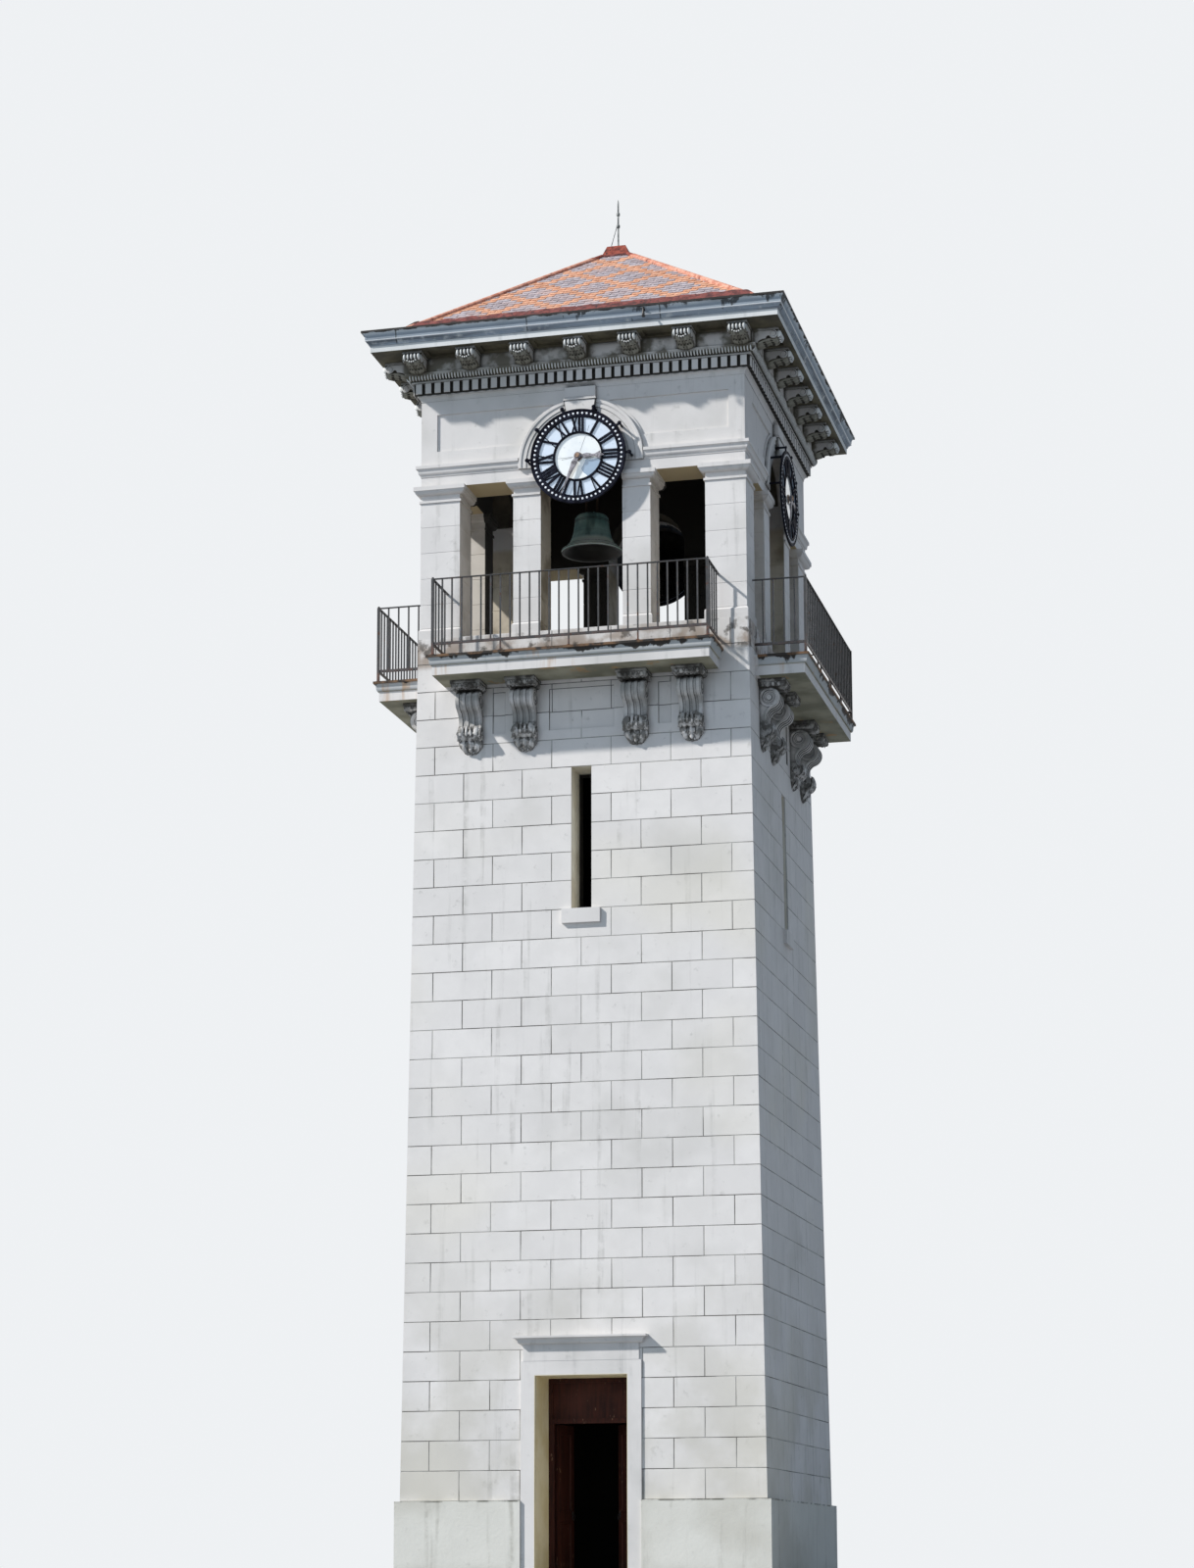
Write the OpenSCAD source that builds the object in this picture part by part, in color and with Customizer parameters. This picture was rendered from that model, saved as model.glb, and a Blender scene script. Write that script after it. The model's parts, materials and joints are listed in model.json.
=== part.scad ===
// Square masonry clock tower: battered shaft, four balconies on scroll
// consoles, open belfry with an arch and a dial on each face, dentil and
// modillion cornice, low tiled roof. Millimetres, +Z up, the door faces -Y,
// origin on the ground at the centre of the tower.

/* [Plinth and shaft] */
// Height of the plinth above the ground
plinth_h = 1300; // [900:10:1700]
// Projection of the plinth from the shaft
plinth_out = 65; // [30:5:120]
// Width of the shaft at the top of the plinth
shaft_w = 5000; // [4900:10:5200]
// Width of the shaft at its top
shaft_top_w = 4710; // [4690:10:4800]
// Height of one course of masonry
course_h = 400; // [380:5:430]
// Courses from the plinth to the top of the shaft
courses = 29; // [27:1:32]
// Clear width of the room inside the shaft
room_w = 3400; // [3200:10:3500]
// Height of the ground floor above the ground
floor_h = 200; // [120:10:300]

/* [Slit windows] */
// Width of a slit window
slit_w = 285; // [200:5:360]
// Height of a slit window, in courses
slit_courses = 5; // [3:1:6]
// Course on which a slit window starts
slit_first = 20; // [12:1:20]
// Width of the sill under a slit window
sill_w = 540; // [450:10:640]
// Height of that sill
sill_h = 200; // [120:10:300]
// Projection of that sill
sill_out = 57; // [30:1:90]

/* [Doorway] */
// Clear width of the doorway
door_w = 1260; // [1140:10:1360]
// Height of the doorway from the ground floor to its head
door_h = 2750; // [2600:10:2900]
// Height of the door leaves
leaf_h = 2130; // [2000:10:2200]
// Thickness of a door leaf
leaf_t = 42; // [32:1:50]
// How far the left leaf stands open, degrees
leaf_left_open = 80; // [30:1:90]
// How far the right leaf stands open, degrees
leaf_right_open = 54; // [30:1:90]
// Width of the timber frame
frame_w = 60; // [45:1:80]
// Depth of the timber frame
frame_d = 80; // [70:1:110]
// Height of the transom rail over the leaves
transom_h = 65; // [40:5:90]
// Width of the plain band round the doorway
surround_w = 195; // [150:5:240]
// Projection of that band
surround_out = 30; // [15:1:60]
// Height of the frieze between the band and the hood's cornice
hood_frieze_h = 220; // [120:10:300]
// Height of the hood's cornice
hood_cornice_h = 110; // [80:5:160]
// Projection of the hood's cornice
hood_out = 120; // [70:5:180]
// Projection of the hood's frieze from the wall
hood_frieze_out = 33; // [15:1:50]
// Width of a leaf's stiles
stile_w = 95; // [70:5:130]
// Length of the hinge straps
strap_l = 320; // [200:10:420]

/* [Balconies] */
// Length of a balcony along its fascia
balcony_w = 3890; // [3800:10:3990]
// Projection of the fascia from the top of the shaft
balcony_out = 700; // [640:10:780]
// Drop from the top of the shaft to the balcony's floor
balcony_drop = 84; // [60:2:120]
// Height of the plain fascia
fascia_h = 135; // [100:5:180]
// Height of the moulding over the fascia
slab_cyma_h = 110; // [80:5:140]
// Projection of that moulding
slab_cyma_out = 70; // [50:5:90]
// Height of the thin edge on top
slab_edge_h = 32; // [20:1:45]

/* [Scroll consoles] */
// Distance from the middle of a face to the inner consoles
console_inner = 787; // [700:1:830]
// Distance from the middle of a face to the outer consoles
console_outer = 1565; // [1500:1:1650]
// Width of a console at its leaf
console_w = 335; // [300:1:350]
// Width of a console above the leaf
console_body_w = 310; // [280:2:330]
// Width of a console's tip
console_tip_w = 205; // [150:5:240]
// Height of a console without its cap
console_h = 880; // [820:10:940]
// Radius of the upper scroll
scroll_r = 150; // [130:1:165]
// Radius of the lower scroll
foot_r = 92; // [80:1:105]
// Radius of the hollow between the scrolls
waist_r = 140; // [125:1:170]
// Width of a console's moulded cap
console_cap_w = 430; // [370:5:450]
// Height of the cap
console_cap_h = 110; // [90:2:130]
// Projection of the cap
console_cap_out = 390; // [340:5:440]
// Depth of the flutes on a console's front
flute_d = 12; // [6:1:18]
// Height of the sunken panels between the consoles
panel_h = 590; // [400:10:700]
// Width of the sunken panel in the middle
panel_w = 920; // [700:10:1000]
// Width of the narrow panels beside it
narrow_panel_w = 180; // [100:5:220]

/* [Railings] */
// Height of the railing above the balcony's floor
rail_h = 1093; // [950:1:1200]
// Width of a square bar
bar_w = 20; // [14:1:26]
// Gaps between the bars along a balcony
rail_gaps = 28; // [24:1:32]
// Gaps between the bars at a balcony's ends
end_gaps = 5; // [4:1:7]
// Height of the bottom rail above the floor
rail_foot = 145; // [100:5:180]
// Height of the top and bottom rails
rail_t = 38; // [25:1:50]
// Width of a corner post
post_w = 36; // [28:1:50]

/* [Belfry] */
// Setback of the belfry from the top of the shaft
belfry_setback = 25; // [10:1:40]
// Height of the stone base under the piers
base_h = 375; // [300:5:450]
// Thickness of the belfry's floor
belfry_floor_t = 200; // [150:10:250]
// Width of a corner pier, and thickness of the belfry's walls
pier_w = 565; // [540:5:600]
// Width of an inner pier
inner_pier_w = 390; // [360:5:430]
// Half of the clear width of the arch
arch_r = 590; // [560:5:620]
// Height of the piers with their capitals
pier_h = 2211; // [2100:1:2300]
// Height of a capital
capital_h = 228; // [200:2:260]
// Projection of a capital
capital_out = 90; // [60:5:100]
// Height of the plain band over the capitals
architrave_h = 159; // [130:1:190]
// Height of the small cornice over that band
small_cornice_h = 155; // [120:1:190]
// Projection of the small cornice
small_cornice_out = 65; // [40:5:80]
// Height of the arch's centre over the plain band
arch_rise = 55; // [30:1:80]
// Width of the moulded band round the arch
archivolt_w = 310; // [270:5:330]
// Projection of that band
archivolt_out = 60; // [45:1:70]
// Height of the wall over the small cornice
arch_wall_h = 954; // [920:1:1000]
// Depth of the sunken panels
panel_d = 25; // [15:1:40]
// Projection of the keystone
keystone_out = 92; // [80:1:110]
// Width of the keystone's upper block
keystone_w = 440; // [400:5:470]

/* [Dials] */
// Radius of a dial
dial_r = 685; // [660:1:700]
// Width of the outer ring
dial_band = 117; // [105:1:135]
// Outer radius of the inner ring
inner_ring_r = 359; // [345:1:375]
// Width of the inner ring
inner_ring_w = 27; // [20:1:34]
// Distance from the belfry's wall to the back of the dial's frame
dial_off = 180; // [150:1:200]
// Thickness of the dial's frame
dial_t = 20; // [14:1:30]
// Thickness of the glass
glass_t = 12; // [8:1:20]
// Length of a minute hand
minute_len = 595; // [540:1:620]
// Length of an hour hand
hour_len = 375; // [330:1:400]
// Angle of the minute hands from twelve, degrees
minute_at = 204; // [0:1:359]
// Angle of the hour hands from twelve, degrees
hour_at = 92; // [0:1:359]
// Radius of the arbor that carries the hands
arbor_r = 22; // [16:1:28]
// Thickness of a hand
hand_t = 8; // [6:1:10]

/* [Bell] */
// Radius of the bell's lip
bell_r = 440; // [380:5:470]
// Height of the bell
bell_h = 560; // [500:10:620]
// Height of the bell's lip over the belfry's base
bell_lip_z = 1690; // [1500:5:1750]
// Place of the bell from the middle, to the left
bell_x = -310; // [-400:10:-200]
// Place of the bell from the middle, to the front
bell_y = -450; // [-600:10:-300]

/* [Main cornice] */
// Height of the dentil course
dentil_course_h = 266; // [240:1:290]
// Dentils along one face
dentils = 35; // [31:2:39]
// Height of the modillion course
modillion_course_h = 320; // [290:1:350]
// Modillions along one face
modillions = 7; // [5:1:8]
// Width of a modillion
modillion_w = 280; // [220:5:300]
// Height of a modillion
modillion_h = 200; // [170:5:220]
// Projection of the modillions from the wall
modillion_out = 500; // [430:5:540]
// Height of the corona's plain face
corona_h = 90; // [70:5:120]
// Projection of the corona from the wall
corona_out = 583; // [560:1:620]
// Height of the mouldings over the corona
crown_h = 200; // [160:5:240]
// Projection of those mouldings from the corona
crown_out = 110; // [80:5:140]

/* [Roof] */
// Distance from the cornice's edge to the roof's eaves
eaves_in = 305; // [200:5:400]
// Height of the tiled roof
roof_h = 1950; // [1700:10:2200]
// Width of the roof's flat top
roof_top_w = 410; // [340:10:500]
// Thickness of the roof, measured level
roof_t = 150; // [100:10:220]
// Radius of the hip tiles
hip_r = 48; // [36:1:80]
// Height of the tiled cap
cap_h = 190; // [150:10:240]
// Length of the lightning rod
rod_h = 780; // [600:10:1000]

/* [Hidden] */

// Faces of the tower as turns about +Z: front -Y, right +X, back, left
FRONT = 0;
RIGHT = 90;
BACK = 180;
LEFT = 270;
FACES = [FRONT, RIGHT, BACK, LEFT];

// Clearances
moving_gap = 6;
pin_gap = 0.05;
eye_gap = 0.3;
far = 9000;

// Colours
paint = "whitesmoke";
stained = "gainsboro";
timber = "maroon";
iron = "darkslategray";
tile = "indianred";

// Levels
shaft_top = plinth_h + courses * course_h;
slit_z = plinth_h + slit_first * course_h;
slit_h = slit_courses * course_h;
door_head = floor_h + door_h;
balcony_z = shaft_top - balcony_drop;
slab_t = fascia_h + slab_cyma_h + slab_edge_h;
soffit_z = balcony_z - slab_t;
base_top = shaft_top + base_h;
pier_top = base_top + pier_h;
band_top = pier_top + architrave_h;
arch_z = band_top + arch_rise;
arch_wall_z = band_top + small_cornice_h;
dentil_z = arch_wall_z + arch_wall_h;
modillion_z = dentil_z + dentil_course_h;
corona_z = modillion_z + modillion_course_h;
cornice_top = corona_z + corona_h + crown_h;
cap_z = cornice_top + roof_h;
rod_z = cap_z + cap_h;

// Half widths
room = room_w / 2;
shaft_half = shaft_w / 2;
top_half = shaft_top_w / 2;
half = top_half - belfry_setback;
chamber = half - pier_w;
door_half = door_w / 2;
surround_x = door_half + surround_w;
eaves_half = half + corona_out + crown_out - eaves_in;
roof_top_half = roof_top_w / 2;
roof_run = (eaves_half - roof_top_half) / roof_h;

// Doorway: the frame stands flush with the inner face of the wall
frame_in = door_half - frame_w;
pin_r = 8;
eye_r = 14;
pin_x = door_half - frame_w / 2 + 15;
pin_y = -room + 20;
hinge_foot = 260;
hinge_head = 300;
hinge_zs = [floor_h + hinge_foot, floor_h + leaf_h / 2, floor_h + leaf_h - hinge_head];
eye_h = 60;

// Balcony railing line, measured to the bars' middle
rail_y = top_half + balcony_out + 16;
rail_x = balcony_w / 2 - 12;

// Half width of the battered shaft at a height
function shaft_at(z) =
    shaft_half - (shaft_half - top_half) * (z - plinth_h) / (shaft_top - plinth_h);

// Points on an arc
function arc(cx, cy, r, a0, a1, n) =
    [for (i = [0:n]) let (a = a0 + (a1 - a0) * i / n) [cx + r * cos(a), cy + r * sin(a)]];

// Ovolo: a quarter round that swells out from u0 to u1
function ovolo(u0, z0, u1, z1, n = 5) =
    [for (i = [0:n]) let (a = 90 * i / n) [u0 + (u1 - u0) * sin(a), z0 + (z1 - z0) * (1 - cos(a))]];

// Cavetto: a quarter hollow that sweeps out from u0 to u1
function cavetto(u0, z0, u1, z1, n = 5) =
    [for (i = [0:n]) let (a = 90 * i / n) [u0 + (u1 - u0) * (1 - cos(a)), z0 + (z1 - z0) * sin(a)]];

// Cyma: an ovolo below and a cavetto above
function cyma(u0, z0, u1, z1, n = 4) =
    concat(ovolo(u0, z0, (u0 + u1) / 2, (z0 + z1) / 2, n),
        [for (p = cavetto((u0 + u1) / 2, (z0 + z1) / 2, u1, z1, n)) p]);

// A profile of [half width, height] points and its mirror image
function both(p) = concat(p, [for (i = [len(p) - 1:-1:0]) [-p[i][0], p[i][1]]]);

// Point at distances ra and rb from a and b, on the +X side
function meet(a, b, ra, rb) =
    let (d = norm(b - a), t = (ra * ra - rb * rb + d * d) / (2 * d), e = (b - a) / d)
    a + e * t + sqrt(ra * ra - t * t) * [e[1], -e[0]];

// Copies on the chosen faces
module on_faces(list = FACES) {
    for (a = list) rotate([0, 0, a]) children();
}

// Box from a lowest to a highest corner
module box(lo, hi) {
    translate(lo) cube(hi - lo);
}

// Extrusion along X of a profile drawn in Y and Z
module along_x(x0, x1) {
    translate([x0, 0, 0]) rotate([90, 0, 90]) linear_extrude(x1 - x0) children();
}

// Extrusion along Y of a profile drawn in X and Z
module along_y(y0, y1) {
    translate([0, y1, 0]) rotate([90, 0, 0]) linear_extrude(y1 - y0) children();
}

// Block with one profile on its four sides, mitred at the corners
module squared(p) {
    intersection() {
        along_x(-far, far) polygon(both(p));
        along_y(-far, far) polygon(both(p));
    }
}

// Block with one profile in front and the same at both ends, back at y = 0
module moulded_shelf(p, width, depth) {
    front = [for (q = p) [-depth - q[0], q[1]]];
    ends = [for (q = p) [width / 2 + q[0], q[1]]];
    intersection() {
        along_x(-far, far)
            polygon(concat(front, [[0, p[len(p) - 1][1]], [0, p[0][1]]]));
        along_y(-far, far) polygon(both(ends));
    }
}

// The shaft as a solid, grown outwards; straight below the plinth's top
module shaft_block(out = 0) {
    squared([[shaft_half + out, 0], [shaft_half + out, plinth_h],
        [top_half + out, shaft_top]]);
}

// Plinth: full wall thickness, with its projecting face kept off the door
module plinth_run(x0, x1, y0, y1) {
    box([x0, y0, 0], [x1, y1, plinth_h]);
}

module plinth_front() {
    out = shaft_half + plinth_out;
    color(stained)
    for (s = [-1, 1]) scale([s, 1, 1]) {
        plinth_run(door_half, out, -shaft_half, -room);
        plinth_run(surround_x, out, -out, -shaft_half);
    }
}

module plinth_sides() {
    out = shaft_half + plinth_out;
    color(stained) on_faces([RIGHT, LEFT]) plinth_run(-room, room, -out, -room);
}

module plinth_back() {
    out = shaft_half + plinth_out;
    color(stained) on_faces([BACK]) plinth_run(-out, out, -out, -room);
}

module ground_floor() {
    color(stained) box([-room, -room, 0], [room, room, floor_h]);
}

module door_threshold() {
    color(stained) box([-door_half, -shaft_half, 0], [door_half, -room, floor_h]);
}

// Sunken panels between the consoles, on the face at -Y
panel_top = soffit_z - console_cap_h;
panel_bottom = panel_top - panel_h;
module console_panels() {
    gap = (console_outer + console_inner) / 2;
    back = shaft_at(panel_bottom) - panel_d;
    box([-panel_w / 2, -far, panel_bottom], [panel_w / 2, -back, panel_top]);
    for (s = [-1, 1]) translate([s * gap, 0, 0])
        box([-narrow_panel_w / 2, -far, panel_bottom], [narrow_panel_w / 2, -back, panel_top]);
}

module slit() {
    box([-slit_w / 2, -far, slit_z], [slit_w / 2, 0, slit_z + slit_h]);
}

// One wall of the shaft at -Y between two x limits and above a level
module shaft_wall(x0, x1, z0) {
    difference() {
        intersection() {
            shaft_block();
            box([x0, -far, z0], [x1, -room, shaft_top]);
        }
        slit();
        console_panels();
    }
}

module wall_front_lower() {
    color(paint) for (s = [-1, 1]) intersection() {
        shaft_block();
        box([s > 0 ? door_half : -far, -far, plinth_h],
            [s > 0 ? far : -door_half, -room, door_head]);
    }
}

module wall_front() {
    color(paint) shaft_wall(-far, far, door_head);
}

module wall_back() {
    color(paint) on_faces([BACK]) shaft_wall(-far, far, plinth_h);
}

module wall_right() {
    color(paint) on_faces([RIGHT]) shaft_wall(-room, room, plinth_h);
}

module wall_left() {
    color(paint) on_faces([LEFT]) shaft_wall(-room, room, plinth_h);
}

module slit_sills() {
    front = shaft_at(slit_z) + sill_out;
    color(paint) on_faces() difference() {
        box([-sill_w / 2, -front, slit_z - sill_h], [sill_w / 2, -room, slit_z]);
        shaft_block();
    }
}

// Plain band round the doorway, following the batter of the wall
module door_surround() {
    top = door_head + surround_w;
    color(paint) difference() {
        intersection() {
            shaft_block(surround_out);
            box([-surround_x, -far, 0], [surround_x, 0, top]);
        }
        shaft_block();
        box([-door_half, -far, -1], [door_half, 0, door_head]);
    }
}

// Frieze and cornice over the band
module door_hood() {
    z0 = door_head + surround_w;
    z1 = z0 + hood_frieze_h;
    z2 = z1 + hood_cornice_h;
    edge = 0.25 * hood_cornice_h;
    profile = concat([[0, z0], [0, z1]], cyma(15, z1, hood_out - 12, z2 - edge),
        [[hood_out, z2 - edge], [hood_out, z2]]);
    color(paint) difference() {
        moulded_shelf(profile, 2 * surround_x - 60, max(shaft_at(z0), shaft_at(z2)) + hood_frieze_out);
        shaft_block();
    }
}

// Timber frame with a transom rail and a fixed panel over the leaves
module door_frame() {
    y0 = -room - frame_d;
    rail_z = floor_h + leaf_h + 2 * moving_gap;
    panel_z = rail_z + transom_h;
    mid = -room - frame_d / 2;
    color(timber) {
        for (s = [-1, 1]) scale([s, 1, 1])
            box([frame_in, y0, floor_h], [door_half, -room, door_head]);
        box([-frame_in, y0, door_head - frame_w], [frame_in, -room, door_head]);
        box([-frame_in, y0, rail_z], [frame_in, -room, panel_z]);
        box([-frame_in, mid - 12, panel_z], [frame_in, mid + 12, door_head - frame_w]);
        for (s = [-1, 1]) scale([s, 1, 1])
            box([frame_in - 18, y0, floor_h],
                [frame_in, -room - leaf_t - moving_gap, rail_z]);
    }
}

// Pintle: a plate on the frame, a bracket and the pin that an eye turns on
module pintle(z) {
    box([pin_x - 12, -room, z - 70], [pin_x + 12, -room + 5, z - 8]);
    box([pin_x - 8, -room, z - 40], [pin_x + 8, pin_y, z - 8]);
    translate([pin_x, pin_y, z - 40]) cylinder(r = eye_r, h = 40 - eye_gap, $fn = 32);
    translate([pin_x, pin_y, z - 40]) cylinder(r = pin_r, h = 40 + eye_h + 4, $fn = 32);
}

module door_hinges() {
    color(iron) for (s = [-1, 1]) scale([s, 1, 1]) for (z = hinge_zs) pintle(z);
}

// Closed leaf with its hinges at +X: stiles, rails and sunken panels
module closed_leaf() {
    meeting = moving_gap;
    hung = frame_in - moving_gap;
    z0 = floor_h + moving_gap;
    z1 = z0 + leaf_h;
    lock_z = z0 + 0.42 * leaf_h;
    sunk = 0.3 * leaf_t;
    difference() {
        box([meeting, -room - leaf_t, z0], [hung, -room, z1]);
        for (span = [[z0 + 180, lock_z - 60], [lock_z + 60, z1 - 110]])
            for (y = [[-room - leaf_t - 1, -room - leaf_t + sunk], [-room - sunk, -room + 1]])
                box([meeting + stile_w, y[0], span[0]], [hung - stile_w, y[1], span[1]]);
    }
    for (z = hinge_zs) difference() {
        union() {
            translate([pin_x, pin_y, z]) cylinder(r = eye_r, h = eye_h, $fn = 32);
            box([hung - strap_l, -room, z + 10], [hung, -room + 6, z + eye_h - 10]);
            box([hung - 30, -room + 4, z + 10], [pin_x, -room + 10, z + eye_h - 10]);
        }
        translate([pin_x, pin_y, z - 1])
            cylinder(r = pin_r + pin_gap, h = eye_h + 2, $fn = 32);
        box([hung + moving_gap, -room - 1, z - 1], [pin_x + far, -room + 5, z + eye_h + 1]);
    }
}

// Leaf turned open about its pin line
module open_leaf(angle) {
    translate([pin_x, pin_y, 0]) rotate([0, 0, -angle]) translate([-pin_x, -pin_y, 0])
        closed_leaf();
}

module door_leaf_right() {
    color(timber) open_leaf(leaf_right_open);
}

module door_leaf_left() {
    color(timber) scale([-1, 1, 1]) open_leaf(leaf_left_open);
}

// Balcony floor slab: fascia, cyma and thin top edge
module balcony_slabs() {
    z1 = soffit_z + fascia_h;
    z2 = z1 + slab_cyma_h;
    profile = concat([[0, soffit_z], [0, z1]], cyma(8, z1, slab_cyma_out - 8, z2),
        [[slab_cyma_out, z2], [slab_cyma_out, balcony_z]]);
    color(paint) on_faces() difference() {
        moulded_shelf(profile, balcony_w, top_half + balcony_out);
        shaft_block();
    }
}

// Side view of a console, u out from the wall and v up from its tip:
// a large scroll over a small one, joined by a hollow, with a leaf below
module console_outline(cut = 0) {
    upper = [scroll_r, console_h - scroll_r];
    lower = [foot_r, 0.318 * console_h];
    hollow = meet(lower, upper, foot_r + waist_r, scroll_r + waist_r);
    leaf = [0.5 * foot_r, 0.16 * console_h];
    difference() {
        union() {
            translate(upper) circle(r = scroll_r - cut, $fn = 48);
            translate(lower) circle(r = foot_r - cut, $fn = 48);
            translate(leaf) circle(r = 0.5 * foot_r - cut, $fn = 32);
            polygon([[-60, 0], [0, 0], [leaf[0] + 0.4 * foot_r - cut, leaf[1] - 10], lower,
                hollow, upper, [scroll_r, console_h - cut], [scroll_r, console_h], [-60, console_h]]);
        }
        translate(hollow) circle(r = waist_r + cut + 1, $fn = 64);
    }
}

// Front view of a console's leaf, with its rounded tip
leaf_top = 0.4;
module console_front() {
    h = console_h;
    body = console_body_w / 2;
    tip = console_tip_w / 2;
    polygon(both(concat(arc(tip - 40, 40, 40, -90, 0, 4),
        [[console_w / 2 - 14, 0.12 * h], [console_w / 2, 0.2 * h], [console_w / 2, 0.27 * h],
        [body + 5, 0.36 * h], [body + 5, leaf_top * h]])));
}

// One console at the origin of x, against the wall at -Y
module console() {
    tip = soffit_z - console_cap_h - console_h;
    wall = shaft_at(tip + console_h);
    body = console_body_w / 2;
    ridge = 2 * body / 7;
    split = leaf_top * console_h;
    cap = concat([[-50, 0]], ovolo(-40, 0, -10, 0.45 * console_cap_h),
        [[-10, 0.6 * console_cap_h], [0, 0.6 * console_cap_h], [0, console_cap_h]]);
    translate([0, -wall, tip]) {
        intersection() {
            rotate([90, 0, -90]) linear_extrude(console_w, center = true) console_outline();
            along_y(-far, far) console_front();
        }
        for (i = [0:6]) intersection() {
            translate([(i - 3) * ridge, 0, 0]) rotate([90, 0, -90])
                linear_extrude(ridge, center = true) console_outline(i % 2 == 0 ? 0 : flute_d);
            box([-far, -far, split], [far, far, console_h]);
        }
        for (s = [-1, 1]) translate([s * (body - 5), -scroll_r, console_h - scroll_r])
            rotate([0, s * 90, 0]) {
                difference() {
                    cylinder(r = 0.9 * scroll_r, h = 15, $fn = 48);
                    translate([0, 0, -1]) cylinder(r = 0.7 * scroll_r, h = 17, $fn = 48);
                }
                cylinder(r = 0.24 * scroll_r, h = 19, $fn = 32);
            }
        translate([0, 0, console_h])
            moulded_shelf(cap, console_cap_w, console_cap_out);
    }
}

module consoles() {
    color(paint) on_faces() difference() {
        for (x = [-console_outer, -console_inner, console_inner, console_outer])
            translate([x, 0, 0]) console();
        shaft_block();
    }
}

// Panel of upright bars between two rails, along X at y = 0
module bar_panel(x0, x1, gaps, skip_ends) {
    top = balcony_z + rail_h;
    low = balcony_z + rail_foot;
    step = (x1 - x0) / gaps;
    box([x0, -rail_t / 2, top - 12], [x1, rail_t / 2, top]);
    box([x0, -8, low], [x1, 8, low + rail_t]);
    for (i = [skip_ends:gaps - skip_ends]) translate([x0 + i * step, 0, 0])
        box([-bar_w / 2, -bar_w / 2, low + 2], [bar_w / 2, bar_w / 2, top - 2]);
}

module railing_post(x) {
    box([x - post_w / 2, -post_w / 2, balcony_z], [x + post_w / 2, post_w / 2, balcony_z + rail_h]);
}

module balcony_railings() {
    low = balcony_z + rail_foot;
    color(iron) on_faces() translate([0, -rail_y, 0]) {
        bar_panel(-rail_x, rail_x, rail_gaps, 1);
        for (s = [-1, 1]) railing_post(s * rail_x);
        for (i = [-1:1]) translate([i * rail_x / 2, 0, 0])
            box([-bar_w / 2, -bar_w / 2, balcony_z], [bar_w / 2, bar_w / 2, low + 2]);
    }
}

// Short panels from the corner posts back to the corner piers
module railing_returns() {
    top = balcony_z + rail_h;
    low = balcony_z + rail_foot;
    y0 = -rail_y + max(post_w, rail_t) / 2;
    step = (rail_y - half) / end_gaps;
    color(iron) on_faces() for (s = [-1, 1]) translate([s * rail_x, 0, 0]) {
        box([-rail_t / 2, y0, top - 12], [rail_t / 2, -half, top]);
        box([-8, -rail_y + post_w / 2, low], [8, -top_half, low + rail_t]);
        for (i = [1:end_gaps - 1]) translate([0, -rail_y + i * step, 0])
            box([-bar_w / 2, -bar_w / 2, low + 2], [bar_w / 2, bar_w / 2, top - 2]);
    }
}

module belfry_base() {
    color(paint) difference() {
        box([-top_half, -top_half, shaft_top], [top_half, top_half, base_top]);
        box([-chamber, -chamber, shaft_top - 1], [chamber, chamber, base_top + 1]);
    }
}

module belfry_floor() {
    color(stained)
        box([-chamber, -chamber, shaft_top], [chamber, chamber, shaft_top + belfry_floor_t]);
}

// Profile of a pier: weathered foot, shaft, necking, ovolo and abacus
foot_h = 150;
function pier_profile() =
    let (cap = pier_h - capital_h, out = capital_out, foot = top_half - half)
    concat([[foot, 0], [foot, 0.8 * foot_h], [0, foot_h], [0, cap], [0.25 * out, cap],
        [0.25 * out, cap + 0.14 * capital_h], [0, cap + 0.14 * capital_h]],
        [[0, cap + 0.48 * capital_h]],
        ovolo(0.2 * out, cap + 0.48 * capital_h, 0.85 * out, cap + 0.74 * capital_h, 4),
        [[out, cap + 0.74 * capital_h], [out, pier_h]]);

module corner_piers() {
    c = half - pier_w / 2;
    side = [for (q = pier_profile()) [pier_w / 2 + q[0], q[1]]];
    color(paint) for (x = [-c, c]) for (y = [-c, c])
        translate([x, y, base_top]) squared(side);
}

// Inner pier at +X of the arch: its mouldings stop flush at the arch
module inner_pier() {
    side = [for (q = pier_profile()) [arch_r + inner_pier_w + q[0], q[1]]];
    front = [for (q = pier_profile()) [pier_w / 2 + q[0], q[1]]];
    translate([0, 0, base_top]) intersection() {
        along_y(-far, 0) polygon(concat(side, [[arch_r, pier_h], [arch_r, 0]]));
        translate([0, -half + pier_w / 2, 0]) along_x(-far, far) polygon(both(front));
    }
}

module inner_piers() {
    color(paint) on_faces() for (s = [-1, 1]) scale([s, 1, 1]) inner_pier();
}

module arch_hole() {
    translate([0, 0, arch_z]) rotate([90, 0, 0]) cylinder(r = arch_r, h = far, $fn = 96);
}

// Small cornice on the entablature as a ring round the whole belfry
module small_cornice() {
    h = small_cornice_h;
    out = small_cornice_out;
    squared(concat([[half, band_top], [half + 0.15 * out, band_top],
        [half + 0.15 * out, band_top + 0.2 * h]],
        cyma(half + 0.3 * out, band_top + 0.2 * h, half + 0.9 * out, band_top + 0.72 * h, 3),
        [[half + out, band_top + 0.72 * h], [half + out, arch_wall_z], [half, arch_wall_z]]));
}

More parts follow.
